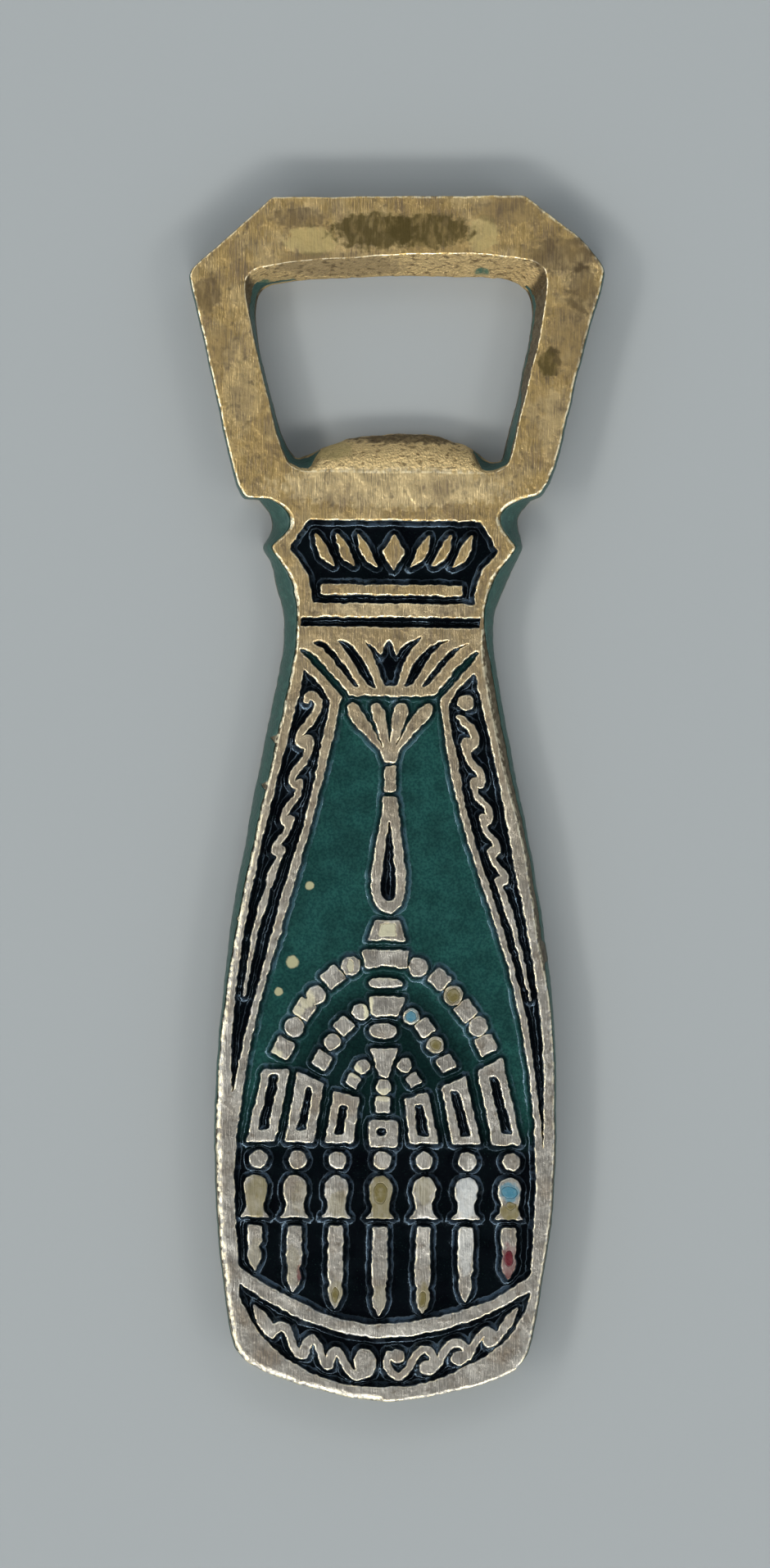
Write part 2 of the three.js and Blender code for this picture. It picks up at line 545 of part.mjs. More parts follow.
// ---- Specks of colour left in shallow dips of the raised brass ----
const speck = (name, material, points) => ({ name, material, points });
const SPECKS = [
  speck("blue_speck_bead", SKY_BLUE, bead(2.6, -24.3, 0.65)),
  speck("blue_speck_cup", SKY_BLUE, oval(13.75, -43.6, 0.95, 0.7)),
  speck("olive_speck_cup_right", OLIVE, oval(13.8, -45.1, 0.6, 0.45)),
  speck("olive_speck_cup_centre", OLIVE, oval(-0.6, -43.9, 0.75, 1.3)),
  speck("olive_speck_bead_outer", OLIVE, bead(7.2, -21.9, 0.75)),
  speck("olive_speck_bead_inner", OLIVE, bead(5.3, -27.4, 0.65)),
  speck("olive_speck_flame_left", OLIVE, oval(-5.5, -55.2, 0.45, 0.9)),
  speck("olive_speck_flame_right", OLIVE, oval(4.2, -55.6, 0.45, 0.9)),
  speck("red_speck_candle", RED, oval(13.7, -51, 0.5, 0.9)),
  speck("cream_speck_foot", CREAM, tile([-1, 0.7, -14], [-1.3, 0.9, -15.5])),
  speck("cream_speck_bead", CREAM, oval(-4.3, -18.7, 0.4, 0.8)),
];
const speckPocket = ({ points }) =>
  prism(points, THICKNESS - SPECK_POCKET, THICKNESS + OVERCUT);
const speckPaint = ({ points }) =>
  prism(inset(points, FIT), THICKNESS - SPECK_POCKET + FIT, THICKNESS - SPECK_BELOW_FACE);

// ---- Assembly ----
function casting() {
  const cutters = [windowCutter(), ...POOLS.map(poolCutter), ...SPECKS.map(speckPocket)];
  return cutters.reduce((brass, cutter) => brass.subtract(cutter), blank());
}

const opener = new THREE.Group();
opener.add(meshOf("brass_casting", casting(), BRASS));
opener.add(meshOf("side_coat", sideCoat(), TEAL));
opener.add(meshOf("window_coat_left", windowCoat(["topLeft", "left", "bottomLeft"]), TEAL));
opener.add(meshOf("window_coat_right", windowCoat(["bottomRight", "right", "topRight"]), TEAL));
POOLS.forEach((each) => opener.add(meshOf(each.name, poolEnamel(each), each.material)));
SPECKS.forEach((each) => opener.add(meshOf(each.name, speckPaint(each), each.material)));

export default opener;
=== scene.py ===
"""Looks of the souvenir bottle opener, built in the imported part's frame.

The CAD nodes are faceted. Here their outlines are read back and smoothed, then raised
again with hand-cast edges, enamel that climbs the walls of its recesses and worn paint.
Lengths are millimetres until a mesh is made; +Y points to the head, +Z out of the face.
"""

import json
import math

import bpy
import numpy as np
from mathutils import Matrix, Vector, geometry, kdtree, noise


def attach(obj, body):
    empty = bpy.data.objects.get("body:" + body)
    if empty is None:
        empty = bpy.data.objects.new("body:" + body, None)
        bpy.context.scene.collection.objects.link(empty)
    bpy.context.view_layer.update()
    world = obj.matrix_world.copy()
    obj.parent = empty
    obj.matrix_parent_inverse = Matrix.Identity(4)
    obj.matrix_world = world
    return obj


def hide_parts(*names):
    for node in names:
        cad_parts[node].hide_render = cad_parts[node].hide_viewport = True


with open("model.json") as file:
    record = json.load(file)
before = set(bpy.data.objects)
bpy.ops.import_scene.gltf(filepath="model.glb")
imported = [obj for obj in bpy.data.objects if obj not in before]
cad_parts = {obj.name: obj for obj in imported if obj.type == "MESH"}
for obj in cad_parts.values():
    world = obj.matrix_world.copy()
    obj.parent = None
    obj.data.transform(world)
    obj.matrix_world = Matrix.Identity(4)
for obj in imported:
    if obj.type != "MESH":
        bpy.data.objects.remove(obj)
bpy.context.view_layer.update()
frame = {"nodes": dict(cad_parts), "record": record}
MM = 0.001

# ---- Heights above the casting's back ----
FACE = 4.5
SPECK_FLOOR = 4.2
RECESS_FLOOR = 3.5
CAD_SPECK_TOP = 4.47
CAD_ENAMEL_TOP = 4.15
FLOOR_GAP = 0.02  # between a recess floor and the enamel made here
SAME_HEIGHT = 0.002

# ---- Places on the casting ----
WINDOW_LOWEST = 33.0  # of the outlines in the face, only the window lies wholly above this
WINDOW_PAINT_TOP = 59.2
LIP_CENTRE = 0.2
LIP_HALF_WIDTH = 9.6
LIP_FRONT = 37.2
TOP_SLOPE_START = 57.5

# ---- Hand-cast outlines ----
RELIEF_SPACING = 0.22
SIDE_SPACING = 0.35
CORNER = math.radians(44)  # a sharper turn in a CAD outline is a corner, not a curve
SIDE_CORNER = math.radians(26)
ROUNDING_PASSES = 2
RELIEF_WOBBLE = ((0.11, 1.3), (0.13, 0.5))  # rows of amount and lump size
SIDE_WOBBLE = ((0.09, 3.0), (0.05, 0.8))
SLIVER = 0.05  # a CAD outline of less area than this is only a gap between two strokes

# ---- Worn edges and walls ----
ARRIS = 0.3  # width of the worn edge round the raised brass
ARRIS_DROP = 1.3
SPECK_WEAR = 0.3  # how worn the edges of the speck dips are, beside those of the relief
WEAR_ROOM = 0.35  # how far a worn edge looks for the next edge of the same brass
DRAFT = 0.08  # how far the foot of a recess wall leans into the recess
# Profile of a worn edge: shares of its width inwards from the outline, and of its drop.
RIM_PROFILE = ((1.0, 0.0), (0.7, 0.04), (0.42, 0.13), (0.18, 0.27), (0.0, 0.45))
# Shares of the casting's depth at which its walls get a row of vertices.
SIDE_DEPTHS = (0.03, 0.06, 0.11, 0.18, 0.27, 0.38, 0.5, 0.64, 0.8, 0.95)
WINDOW_DEPTHS = (0.03, 0.07, 0.12, 0.18, 0.26, 0.35, 0.45, 0.56, 0.68, 0.8, 0.9, 0.97)
# The "mark" of a vertex: 0 on the ground face, up to 1 on a worn edge, more where cast.
EDGE_MARK = 1.0
WALL_MARK = 0.4
RECESS_MARK = 0.5
CAST_MARK = 1.6

# ---- Enamel and paint ----
ENAMEL_RUN = 0.8  # width of the slope that the enamel makes against a wall
ENAMEL_DROP = 0.67
ENAMEL_CONTACT = 0.18  # how far under the face the enamel meets the wall
# Shares of the slope's width at which it gets points.
ENAMEL_STEPS = (0.1, 0.22, 0.36, 0.52, 0.68, 0.84)
ENAMEL_GRID = 0.7
CLOSEST = 0.09  # enamel points nearer to each other than this become one
ENAMEL_OVERLAP = 0.06  # how far enamel outlines move out, past the CAD's clearance
COAT_LIFTS = (-0.03, 0.03, 0.05, 0.05, 0.05, 0.05, 0.04, -0.03)  # from the upper edge down
COAT_LOWEST = 0.9  # share of the depth at which the paint ends
COAT_BURIED = 0.12
# Places where the paint has chipped off the side: x, y, radius, and how deep the chip reaches.
CHIPS = (
    (-17.3, -13.5, 0.7, 0.5),
    (-13.9, 1.3, 0.5, 0.3),
    (-12.8, 6.5, 0.5, 0.35),
    (13.2, 3.8, 0.8, 0.95),
    (12.0, 9.0, 0.6, 0.7),
    (16.6, -17.0, 1.4, 0.9),
)

# ---- Camera, floor and light ----
CAMERA_HEIGHT = 600.0
VIEW_HEIGHT = 173.88  # of the whole picture, measured on the opener's face
VIEW_CENTRE = (-0.66, 1.49)
VIEW_TURN = math.radians(0.71)
SENSOR = 36.0
CLIP_METRES = (0.05, 5)
FLOOR_METRES = 4.0
FLOOR_DROP_METRES = 0.0001
FLOOR_GREY = (0.315, 0.332, 0.332, 1)
RING_ANGLES = (45, 54)  # degrees from the zenith
RING_LEVEL = 7.0
RING_BREAKS = (0.25, 1.2)
BRIGHT_SIDE = (-0.16, -0.98, 0)
SIDE_LEVELS = (0.3, 1.9)  # of the ring, away from the bright side and on it
LOW_SKY_LEVEL = 1.0
OVERHEAD_LEVEL = 0.025
OVERHEAD_TINT = (1, 0.99, 0.96, 1)
LOW_SKY_TINT = (0.78, 0.93, 1.1, 1)
KEY_PLACE = (-0.42, -0.36, 0.55)
KEY_SIZE = 0.35
KEY_WATTS = 0.12
KEY_COLOUR = (1, 0.98, 0.95)

# ---- Colours ----
HEAD_BRASS = (0.60, 0.42, 0.17, 1)
# Painted reflection of a bluish sky: the foot colours here are greyer and paler than the head's.
SKY_GREY_FOOT_BRASS = (0.46, 0.43, 0.375, 1)
POLISHED_HEAD = (0.92, 0.71, 0.37, 1)
SKY_GREY_POLISHED_FOOT = (0.86, 0.82, 0.73, 1)
HEAD_LINES = (0.17, 0.13, 0.09, 1)
SKY_GREY_FOOT_LINES = (0.15, 0.14, 0.125, 1)
# Worn brass of the edges, also used as a painted highlight along them.
WORN_EDGE_AND_HIGHLIGHT = (1.0, 0.86, 0.58, 1)
CAST_BRASS = (0.66, 0.48, 0.23, 1)
# Painted shade on the walls that face sideways.
WALL_SHADE_BROWN = (0.085, 0.06, 0.032, 1)
STAIN_BROWN = (0.24, 0.16, 0.08, 1)
DIRT = (0.13, 0.10, 0.07, 1)
PIT_BROWN = (0.13, 0.08, 0.03, 1)
DARK_OLIVE = (0.065, 0.047, 0.014, 1)
LIGHT_YELLOW = (0.34, 0.265, 0.11, 1)
BROWN = (0.06, 0.04, 0.02, 1)
GREEN_PAINT = (0.03, 0.11, 0.075, 1)
OLIVE = (0.17, 0.14, 0.055, 1)
BLUE = (0.05, 0.17, 0.23, 1)
PALE_BLUE = (0.06, 0.18, 0.22, 1)
PALE_WHITE = (0.36, 0.39, 0.40, 1)
DARK_RED = (0.10, 0.012, 0.02, 1)
OLD_CREAM = (0.62, 0.57, 0.38, 1)
DOT_CREAM = (0.36, 0.34, 0.2, 1)
GREEN_ENAMEL = (0.009, 0.043, 0.040, 1)
GREEN_GRAIN = (0.02, 0.085, 0.072, 1)
BLACK_ENAMEL = (0.0012, 0.0016, 0.0026, 1)
ENAMEL_SHADE = (0.002, 0.005, 0.006, 1)
ENAMEL_DUST = (0.03, 0.075, 0.06, 1)
ENAMEL_GLOSS = (0.55, 0.78, 1.0, 1)
# Old paints: the colour, the colour where it is rubbed, and how far the rubbing shows.
PAINTS = {
    "side_paint": ((0.010, 0.045, 0.033, 1), (0.035, 0.095, 0.07, 1), 0.5),
    "blue_enamel": ((0.045, 0.16, 0.22, 1), (0.13, 0.23, 0.25, 1), 0.4),
    "olive_enamel": ((0.13, 0.105, 0.035, 1), (0.24, 0.21, 0.13, 1), 0.5),
    "red_enamel": ((0.09, 0.006, 0.012, 1), (0.14, 0.03, 0.03, 1), 0.5),
    "cream_enamel": ((0.44, 0.41, 0.28, 1), (0.3, 0.27, 0.2, 1), 0.5),
}

# ---- Spots on the brass: x, y, half width, half height, then what each table adds ----
# Tarnish and old paint on the head: colour and strength.
TARNISH = (
    (-9.6, 61.6, 3.2, 1.8, LIGHT_YELLOW, 0.8),
    (9.4, 62.6, 2.0, 2.3, LIGHT_YELLOW, 0.8),
    (-2.6, 62.8, 5.4, 2.4, DARK_OLIVE, 0.95),
    (3.6, 62.9, 5.2, 2.3, DARK_OLIVE, 0.95),
    (-7.0, 59.2, 9.0, 1.3, BROWN, 0.55),
    (17.0, 48.5, 1.4, 1.9, DARK_OLIVE, 0.95),
    (-21.0, 55.5, 1.7, 2.4, BROWN, 0.8),
    (-7.2, 38.6, 2.8, 1.4, LIGHT_YELLOW, 0.8),
    (-14.7, 56.6, 1.0, 1.1, GREEN_PAINT, 0.9),
    (9.4, 58.6, 0.9, 0.6, GREEN_PAINT, 0.9),
    (18.0, 60.4, 4.4, 2.4, BROWN, 0.8),
    (20.6, 56.6, 1.9, 3.2, BROWN, 0.75),
    (12.0, 65.2, 4.4, 1.6, BROWN, 0.55),
    (-11.0, 64.2, 3.6, 1.2, BROWN, 0.75),
    (-19.3, 50.0, 1.8, 2.6, BROWN, 0.55),
    (-17.0, 44.0, 1.4, 2.8, BROWN, 0.55),
    (-15.0, 52.0, 0.8, 3.6, BROWN, 0.6),
    (19.3, 51.5, 2.6, 5.0, BROWN, 0.6),
    (16.6, 43.0, 2.4, 4.0, BROWN, 0.4),
    # Painted shade: darkens the lip's tip, which slopes down away from the face.
    (2.0, 40.5, 9.5, 1.3, BROWN, 0.9),
    (0.0, 57.6, 12.0, 0.8, BROWN, 0.5),
)
# Thin remnants of paint on the raised tiles, cups and candles: colour and strength.
REMNANTS = (
    (13.75, -43.7, 1.25, 1.3, BLUE, 0.85),
    (13.8, -45.9, 1.2, 1.2, OLIVE, 0.9),
    (2.6, -24.3, 0.95, 0.95, PALE_BLUE, 0.5),
    (-14.3, -44.3, 1.5, 2.9, OLIVE, 0.75),
    (-9.4, -44.6, 1.3, 2.0, OLIVE, 0.35),
    (-5.2, -45.2, 1.4, 1.7, OLIVE, 0.55),
    (-0.5, -44.3, 1.7, 3.2, OLIVE, 0.8),
    (4.3, -43.4, 1.3, 1.7, OLIVE, 0.6),
    (9.0, -43.9, 1.5, 2.9, PALE_WHITE, 0.6),
    (9.0, -50.0, 1.0, 3.4, PALE_WHITE, 0.35),
    (5.3, -27.4, 0.9, 0.9, OLIVE, 0.6),
    (7.2, -21.9, 1.1, 1.1, OLIVE, 0.6),
    (-10.3, -52.0, 1.0, 2.6, OLIVE, 0.4),
    (-14.2, -51.0, 1.0, 2.6, OLIVE, 0.45),
    (-5.4, -55.0, 0.9, 1.8, OLIVE, 0.6),
    (4.4, -55.4, 0.9, 1.9, OLIVE, 0.7),
    (-0.4, -55.4, 0.9, 1.5, OLIVE, 0.4),
    (13.8, -51.5, 1.1, 2.5, DARK_RED, 0.75),
    (-9.1, -52.9, 0.8, 1.5, DARK_RED, 0.8),
    (0.7, -54.4, 0.5, 1.4, DARK_RED, 0.8),
    (-9.0, -22.4, 1.1, 1.1, OLD_CREAM, 0.6),
    (-10.2, -23.9, 1.0, 0.8, OLD_CREAM, 0.6),
    (-12.7, -28.8, 1.2, 1.1, OLD_CREAM, 0.7),
    (-2.2, -23.2, 0.6, 1.6, OLD_CREAM, 0.9),
    (-3.6, -30.4, 0.9, 0.9, OLD_CREAM, 0.7),
    (-0.4, -33.0, 1.1, 0.9, OLD_CREAM, 0.6),
    (-0.6, -19.6, 1.8, 0.8, OLD_CREAM, 0.4),
)
# Places rubbed bright: strength.
RUBBED = (
    (0, 34.4, 14.5, 2.6, 1.0),
    (0, 20.9, 9.5, 1.0, 0.6),
    (-17.2, 46, 2.2, 7.0, 0.4),
    (17.8, 41, 2.0, 5.0, 0.5),
    (4.5, -43.5, 2.2, 6.0, 0.5),
    (9.2, -46.0, 1.6, 7.0, 0.9),
    (-5.5, -45.0, 1.8, 6.0, 0.4),
    (0, -59.5, 8.0, 1.0, 0.5),
)

# ---- Spots in the enamel ----
# Worn pale dots in the green field: x, y and radius.
FIELD_DOTS = ((-8.9, -9.9, 0.55), (-10.7, -18.4, 0.75), (-12.2, -21.7, 0.5))
# Painted shade, a dark patch of the field among the arcs where the enamel lies low: x, y, half
# width, half height.
SHADED_AMONG_ARCS = (-0.5, -38, 13.5, 19)


# ---- Reading outlines from the CAD ----
def cad_mesh(node):
    """The node's merged vertices, in millimetres, and its triangles."""
    mesh = frame["nodes"][node].data
    mesh.calc_loop_triangles()
    points = np.empty(len(mesh.vertices) * 3)
    mesh.vertices.foreach_get("co", points)
    points = np.round(points.reshape(-1, 3) / MM, 3)
    merged, index = np.unique(points, axis=0, return_inverse=True)
    triangles = np.array([triangle.vertices for triangle in mesh.loop_triangles])
    return merged, index.reshape(-1)[triangles]


def flat_loops(node, height):
    """Closed XY loops round the node's faces at a height, with the faces on their left."""
    points, triangles = cad_mesh(node)
    flat = np.all(np.abs(points[triangles][:, :, 2] - height) < SAME_HEIGHT, axis=1)
    edges = {(int(a), int(b)) for t in triangles[flat] for a, b in zip(t, np.roll(t, -1))}
    following = {}
    for a, b in edges:
        if (b, a) not in edges:
            following.setdefault(a, []).append(b)
    loops = []
    while following:
        start = min(following)
        loop = [start]
        while True:
            choices = following[loop[-1]]
            step = choices.pop()
            if not choices:
                del following[loop[-1]]
            if step == start:
                break
            loop.append(step)
        loops.append(points[loop, :2])
    return loops


def area(loop):
    """The area on the left of a closed loop, negative round a hole."""
    x, y = loop[:, 0], loop[:, 1]
    return 0.5 * float(np.sum(x * np.roll(y, -1) - np.roll(x, -1) * y))


# ---- Smoothing outlines and making them hand-cast ----
def turned(vectors):
    """Each XY vector turned a quarter turn to its left."""
    return np.stack([-vectors[:, 1], vectors[:, 0]], axis=1)


def unit(vectors):
    """Each vector at length 1."""
    return vectors / np.maximum(np.linalg.norm(vectors, axis=1, keepdims=True), 1e-9)


def left_normals(loop):
    """Unit normals of a closed loop, into the region on its left."""
    forward = unit(np.roll(loop, -1, axis=0)[:, :2] - loop[:, :2])
    backward = unit(loop[:, :2] - np.roll(loop, 1, axis=0)[:, :2])
    return unit(turned(forward + backward))


def tangents_of(columns, chords, knots):
    """Tangents of a closed centripetal Catmull-Rom curve at its rows."""
    knots_before = np.roll(knots, 1, axis=0)
    chords_before = np.roll(chords, 1, axis=0)
    bridge = (columns - np.roll(columns, 1, axis=0) + chords) / (knots + knots_before)
    return chords / knots - bridge + chords_before / knots_before


def corners_of(chords, corner):
    """Which rows of a closed loop turn more sharply than a corner."""
    headings = np.arctan2(chords[:, 1], chords[:, 0])
    turns = (headings - np.roll(headings, 1) + np.pi) % (2 * np.pi) - np.pi
    return np.abs(turns) > corner


def densify(columns, spacing, corner=CORNER):
    """A closed smooth curve through the rows, straight up to its corners."""
    chords = np.roll(columns, -1, axis=0) - columns
    lengths = np.linalg.norm(chords[:, :2], axis=1)
    knots = np.sqrt(lengths)[:, None]
    tangents = tangents_of(columns, chords, knots)
    is_corner = corners_of(chords, corner)
    rows = []
    for i, chord in enumerate(chords):
        after = (i + 1) % len(columns)
        start = chord if is_corner[i] else tangents[i] * knots[i]
        end = chord if is_corner[after] else tangents[after] * knots[i]
        count = max(1, math.ceil(lengths[i] / spacing))
        for t in np.arange(count) / count:
            rows.append(
                columns[i] * (1 + 2 * t) * (1 - t) ** 2
                + start * t * (1 - t) ** 2
                + columns[after] * t * t * (3 - 2 * t)
                - end * t * t * (1 - t)
            )
    rows = np.array(rows)
    for _ in range(ROUNDING_PASSES):
        rows = 0.5 * rows + 0.25 * (np.roll(rows, 1, axis=0) + np.roll(rows, -1, axis=0))
    return rows


def rough(points, scale, seed):
    """Smooth noise from -1 to 1 at each point, with lumps of about the given size."""
    offset = Vector((17.3 * seed, 5.1 * seed, 9.7 * seed))
    places = [Vector((*p, 0, 0)[:3]) / scale + offset for p in points]
    return np.array([noise.noise(place) for place in places])


def wobbled(columns, amounts):
    """The columns with their XY points shifted by noise: rows of (amount, lump size)."""
    shifted = columns.copy()
    for seed, (amount, size) in enumerate(amounts):
        at = columns[:, :2]
        shift = np.stack([rough(at, size, 2 * seed + 1), rough(at, size, 2 * seed + 2)], 1)
        for first in range(0, columns.shape[1], 2):
            shifted[:, first : first + 2] += amount * shift
    return shifted


def hand_cast(loops):
    """CAD outlines of the relief, smoothed and made a little uneven."""
    wanted = [loop for loop in loops if abs(area(loop)) > SLIVER]
    return [wobbled(densify(loop, RELIEF_SPACING), RELIEF_WOBBLE) for loop in wanted]


def search_tree(points):
    """A tree for finding the XY points near a place."""
    tree = kdtree.KDTree(len(points))
    for i, point in enumerate(points):
        tree.insert((*point, 0), i)
    tree.balance()
    return tree


def room(loops, reach):
    """For each point of the loops, the radius of the widest circle that touches it from its
    left and holds no other point, up to a reach."""
    points = np.concatenate(loops)
    normals = np.concatenate([left_normals(loop) for loop in loops])
    tree = search_tree(points)
    radii = np.full(len(points), reach)
    for i, point in enumerate(points):
        near = [index for _, index, _ in tree.find_range((*point, 0), 2 * reach)]
        away = points[near] - point
        ahead = away @ normals[i]
        square = np.sum(away**2, axis=1)
        facing = ahead > 0.1 * np.sqrt(square) + 1e-6
        if facing.any():
            radii[i] = min(reach, float(np.min(square[facing] / (2 * ahead[facing]))))
    ends = np.cumsum([len(loop) for loop in loops])[:-1]
    return np.split(radii, ends)


def eased(values):
    """Values round a loop, none raised, with the steps between neighbours evened out."""
    low = np.minimum(values, np.minimum(np.roll(values, 1), np.roll(values, -1)))
    return 0.5 * low + 0.25 * (np.roll(low, 1) + np.roll(low, -1))


def rise(values, start, width):
    """0 before a start, then up to 1 over a width; a negative width looks the other way."""
    return np.clip((values - start) / width, 0, 1)


# ---- Skins ----
def inside_walls(triangles, walls):
    """Indices of the triangles parted from the outside by an odd number of walls."""
    sharing = {}
    for index, triangle in enumerate(triangles):
        for i, corner in enumerate(triangle):
            sharing.setdefault(frozenset((corner, triangle[i - 1])), []).append(index)
    inside = {}
    for edge, owners in sharing.items():
        if len(owners) == 1:
            inside[owners[0]] = inside.get(owners[0], False) or edge in walls
    waiting = list(inside)
    while waiting:
        index = waiting.pop()
        triangle = triangles[index]
        for i, corner in enumerate(triangle):
            edge = frozenset((corner, triangle[i - 1]))
            for other in sharing[edge]:
                if other not in inside:
                    inside[other] = inside[index] != (edge in walls)
                    waiting.append(other)
    return [index for index in inside if inside[index]]


def even_odd(rings, loose=None):
    """Triangles of the area inside an odd number of the rings, as indices into all points."""
    points = np.concatenate(rings + ([loose] if loose is not None else []))
    borders = []
    first = 0
    for ring in rings:
        count = len(ring)
        borders += [(first + i, first + (i + 1) % count) for i in range(count)]
        first += count
    vertices, edges, triangles, from_points, from_edges, _ = geometry.delaunay_2d_cdt(
        [Vector(point) for point in points], borders, [], 0, 1e-5
    )
    walls = {frozenset(edge) for edge, source in zip(edges, from_edges) if source}
    origins = [
        given[0] if given else int(np.argmin(np.linalg.norm(points - np.array(vertex), axis=1)))
        for vertex, given in zip(vertices, from_points)
    ]
    inside = inside_walls(triangles, walls)
    faces = [[origins[corner] for corner in triangles[index]] for index in inside]
    return [face for face in faces if len(set(face)) == 3]


class Skin:
    """The vertices and faces of one piece while it is built."""

    def __init__(self):
        self.points = []
        self.marks = []
        self.faces = []
        self.flat = []

    def ring(self, outline, heights, mark=0.0):
        """Adds a row of vertices and returns their indices."""
        first = len(self.points)
        heights = np.broadcast_to(heights, len(outline))
        self.points += [(x, y, z) for (x, y), z in zip(outline[:, :2], heights)]
        self.marks += list(np.broadcast_to(mark, len(outline)))
        return list(range(first, len(self.points)))

    def wall(self, upper, lower, closed=True):
        """Joins two rows of vertices by a band that faces their right."""
        count = len(upper) if closed else len(upper) - 1
        for i in range(count):
            after = (i + 1) % len(upper)
            self.faces.append([upper[after], upper[i], lower[i], lower[after]])
            self.flat.append(False)

    def stack(self, rows, closed=True):
        """Joins each row of vertices to the next."""
        for upper, lower in zip(rows, rows[1:]):
            self.wall(upper, lower, closed)

    def cover(self, rings, loose=(), up=True, flat=True):
        """Fills between rings of vertices, through the loose vertices."""
        used = [index for ring in rings for index in ring] + list(loose)
        outlines = [np.array([self.points[i][:2] for i in ring]) for ring in rings]
        inner = np.array([self.points[i][:2] for i in loose]) if len(loose) else None
        for triangle in even_odd(outlines, inner):
            face = [used[i] for i in triangle]
            self.faces.append(face if up else face[::-1])
            self.flat.append(flat)

    def piece(self, name, material):
        """The finished object, in metres, without the vertices that no face uses."""
        used = sorted({index for face in self.faces for index in face})
        order = {index: position for position, index in enumerate(used)}
        points = [tuple(c * MM for c in self.points[index]) for index in used]
        faces = [[order[index] for index in face] for face in self.faces]
        mesh = bpy.data.meshes.new(name)
        mesh.from_pydata(points, [], faces)
        mesh.polygons.foreach_set("use_smooth", [not flat for flat in self.flat])
        mark = mesh.attributes.new("mark", "FLOAT", "POINT")
        mark.data.foreach_set("value", np.array(self.marks, np.float32)[used])
        mesh.materials.append(material)
        mesh.update()
        made = bpy.data.objects.new(name, mesh)
        bpy.context.scene.collection.objects.link(made)
        return made


# ---- The brass casting ----
def partnered(front, back):
    """Rows of a front point and its partner on the back, for outlines of equal length."""
    turns = [np.roll(back, -k, axis=0) for k in range(len(back))]
    nearest = min(turns, key=lambda turn: np.sum(np.linalg.norm(turn - front, axis=1)))
    return np.hstack([front, nearest])


def outer_columns():
    """The side of the casting and the wall of its window, brass on their left."""
    fronts = flat_loops("brass_casting", FACE)
    backs = [loop[::-1] for loop in flat_loops("brass_casting", 0.0)]
    side = max(fronts, key=area)
    window = min((loop for loop in fronts if loop[:, 1].min() > WINDOW_LOWEST), key=area)
    pairs = []
    for front in (side, window):
        back = min(backs, key=lambda loop: abs(area(loop) - area(front)))
        columns = densify(partnered(front, back), SIDE_SPACING, SIDE_CORNER)
        pairs.append(wobbled(columns, SIDE_WOBBLE))
    return pairs


def side_at(columns, depth):
    """XY points of the side at a share of its depth: it bulges just below the front edge."""
    share = 1 - (1 - np.asarray(depth)) ** 2.2
    share = share[:, None] if share.ndim else share
    return columns[:, :2] + (columns[:, 2:4] - columns[:, :2]) * share


def rim_width(columns):
    """Width of the worn rim, widest down the left of the handle."""
    x, y = columns[:, 0], columns[:, 1]
    low_left = (x < 0) * rise(y, 4, -20)
    width = 0.24 + 0.5 * low_left + 0.12 * (x > 0)
    fine = (0.08 + 0.2 * low_left) * rough(columns[:, :2], 0.4, 23)
    return width * (1 + 0.3 * rough(columns[:, :2], 1.3, 22) + fine)


def lip_share(columns):
    """1 for the window's columns on the lip, 0 for the others."""
    low_edge = rise(columns[:, 1], LIP_FRONT, -0.8)
    return low_edge * rise(np.abs(columns[:, 0] - LIP_CENTRE), LIP_HALF_WIDTH, -1.2)


def top_share(columns):
    """1 for the window's columns on the cast slope under the top bar, 0 for the others."""
    return rise(columns[:, 1], TOP_SLOPE_START, 1.0)


def window_at(columns, depth):
    """XY points of the window's wall at a share of its depth: the lip domes, the rest slants."""
    depth = np.broadcast_to(depth, len(columns))
    dome = np.sqrt(1 - (1 - depth) ** 2)
    share = depth + (dome - depth) * lip_share(columns)
    return columns[:, :2] + (columns[:, 2:4] - columns[:, :2]) * share[:, None]


def side_wall(skin, side):
    """The casting's side, from its worn rim down. Returns its first and last rows."""
    inward = left_normals(side)
    rim = rim_width(side)
    rows = []
    for reach, drop in RIM_PROFILE:
        edge = side[:, :2] + inward * (rim * reach)[:, None]
        rows.append(skin.ring(edge, FACE - rim * drop, EDGE_MARK - reach**2))
    start = rim * RIM_PROFILE[-1][1] / FACE
    for share in SIDE_DEPTHS:
        depth = start + (1 - start) * share
        mark = EDGE_MARK if share < 0.1 else WALL_MARK
        rows.append(skin.ring(side_at(side, share), FACE * (1 - depth), mark))
    rows.append(skin.ring(side_at(side, 0.99) + inward * 0.06, 0.05, EDGE_MARK))
    rows.append(skin.ring(side_at(side, 1) + inward * 0.2, 0))
    skin.stack(rows)
    return rows[0], rows[-1]


def window_wall(skin, window):
    """The window's wall, lumpy where it is cast. Returns its first and last rows."""
    lip = lip_share(window)
    cast = np.maximum(lip, 0.6 * top_share(window))
    inward = left_normals(window)
    rows = [skin.ring(window[:, :2] + inward * 0.15, FACE)]
    rows.append(skin.ring(window[:, :2] + inward * 0.04, FACE - 0.03 - 0.05 * lip, EDGE_MARK))
    for depth in WINDOW_DEPTHS:
        points = window_at(window, depth)
        height = FACE * (1 - depth)
        spots = np.column_stack([points, np.full(len(points), height)])
        swell = cast * (0.12 * rough(spots, 1.1, 8) + 0.07 * rough(spots, 0.45, 9))
        points = points - inward * swell[:, None]
        rows.append(skin.ring(points, height + 0.6 * swell, CAST_MARK + 0.4 * cast))
    rows.append(skin.ring(window_at(window, 1) + inward * 0.12, 0))
    skin.stack(rows)
    return rows[0], rows[-1]


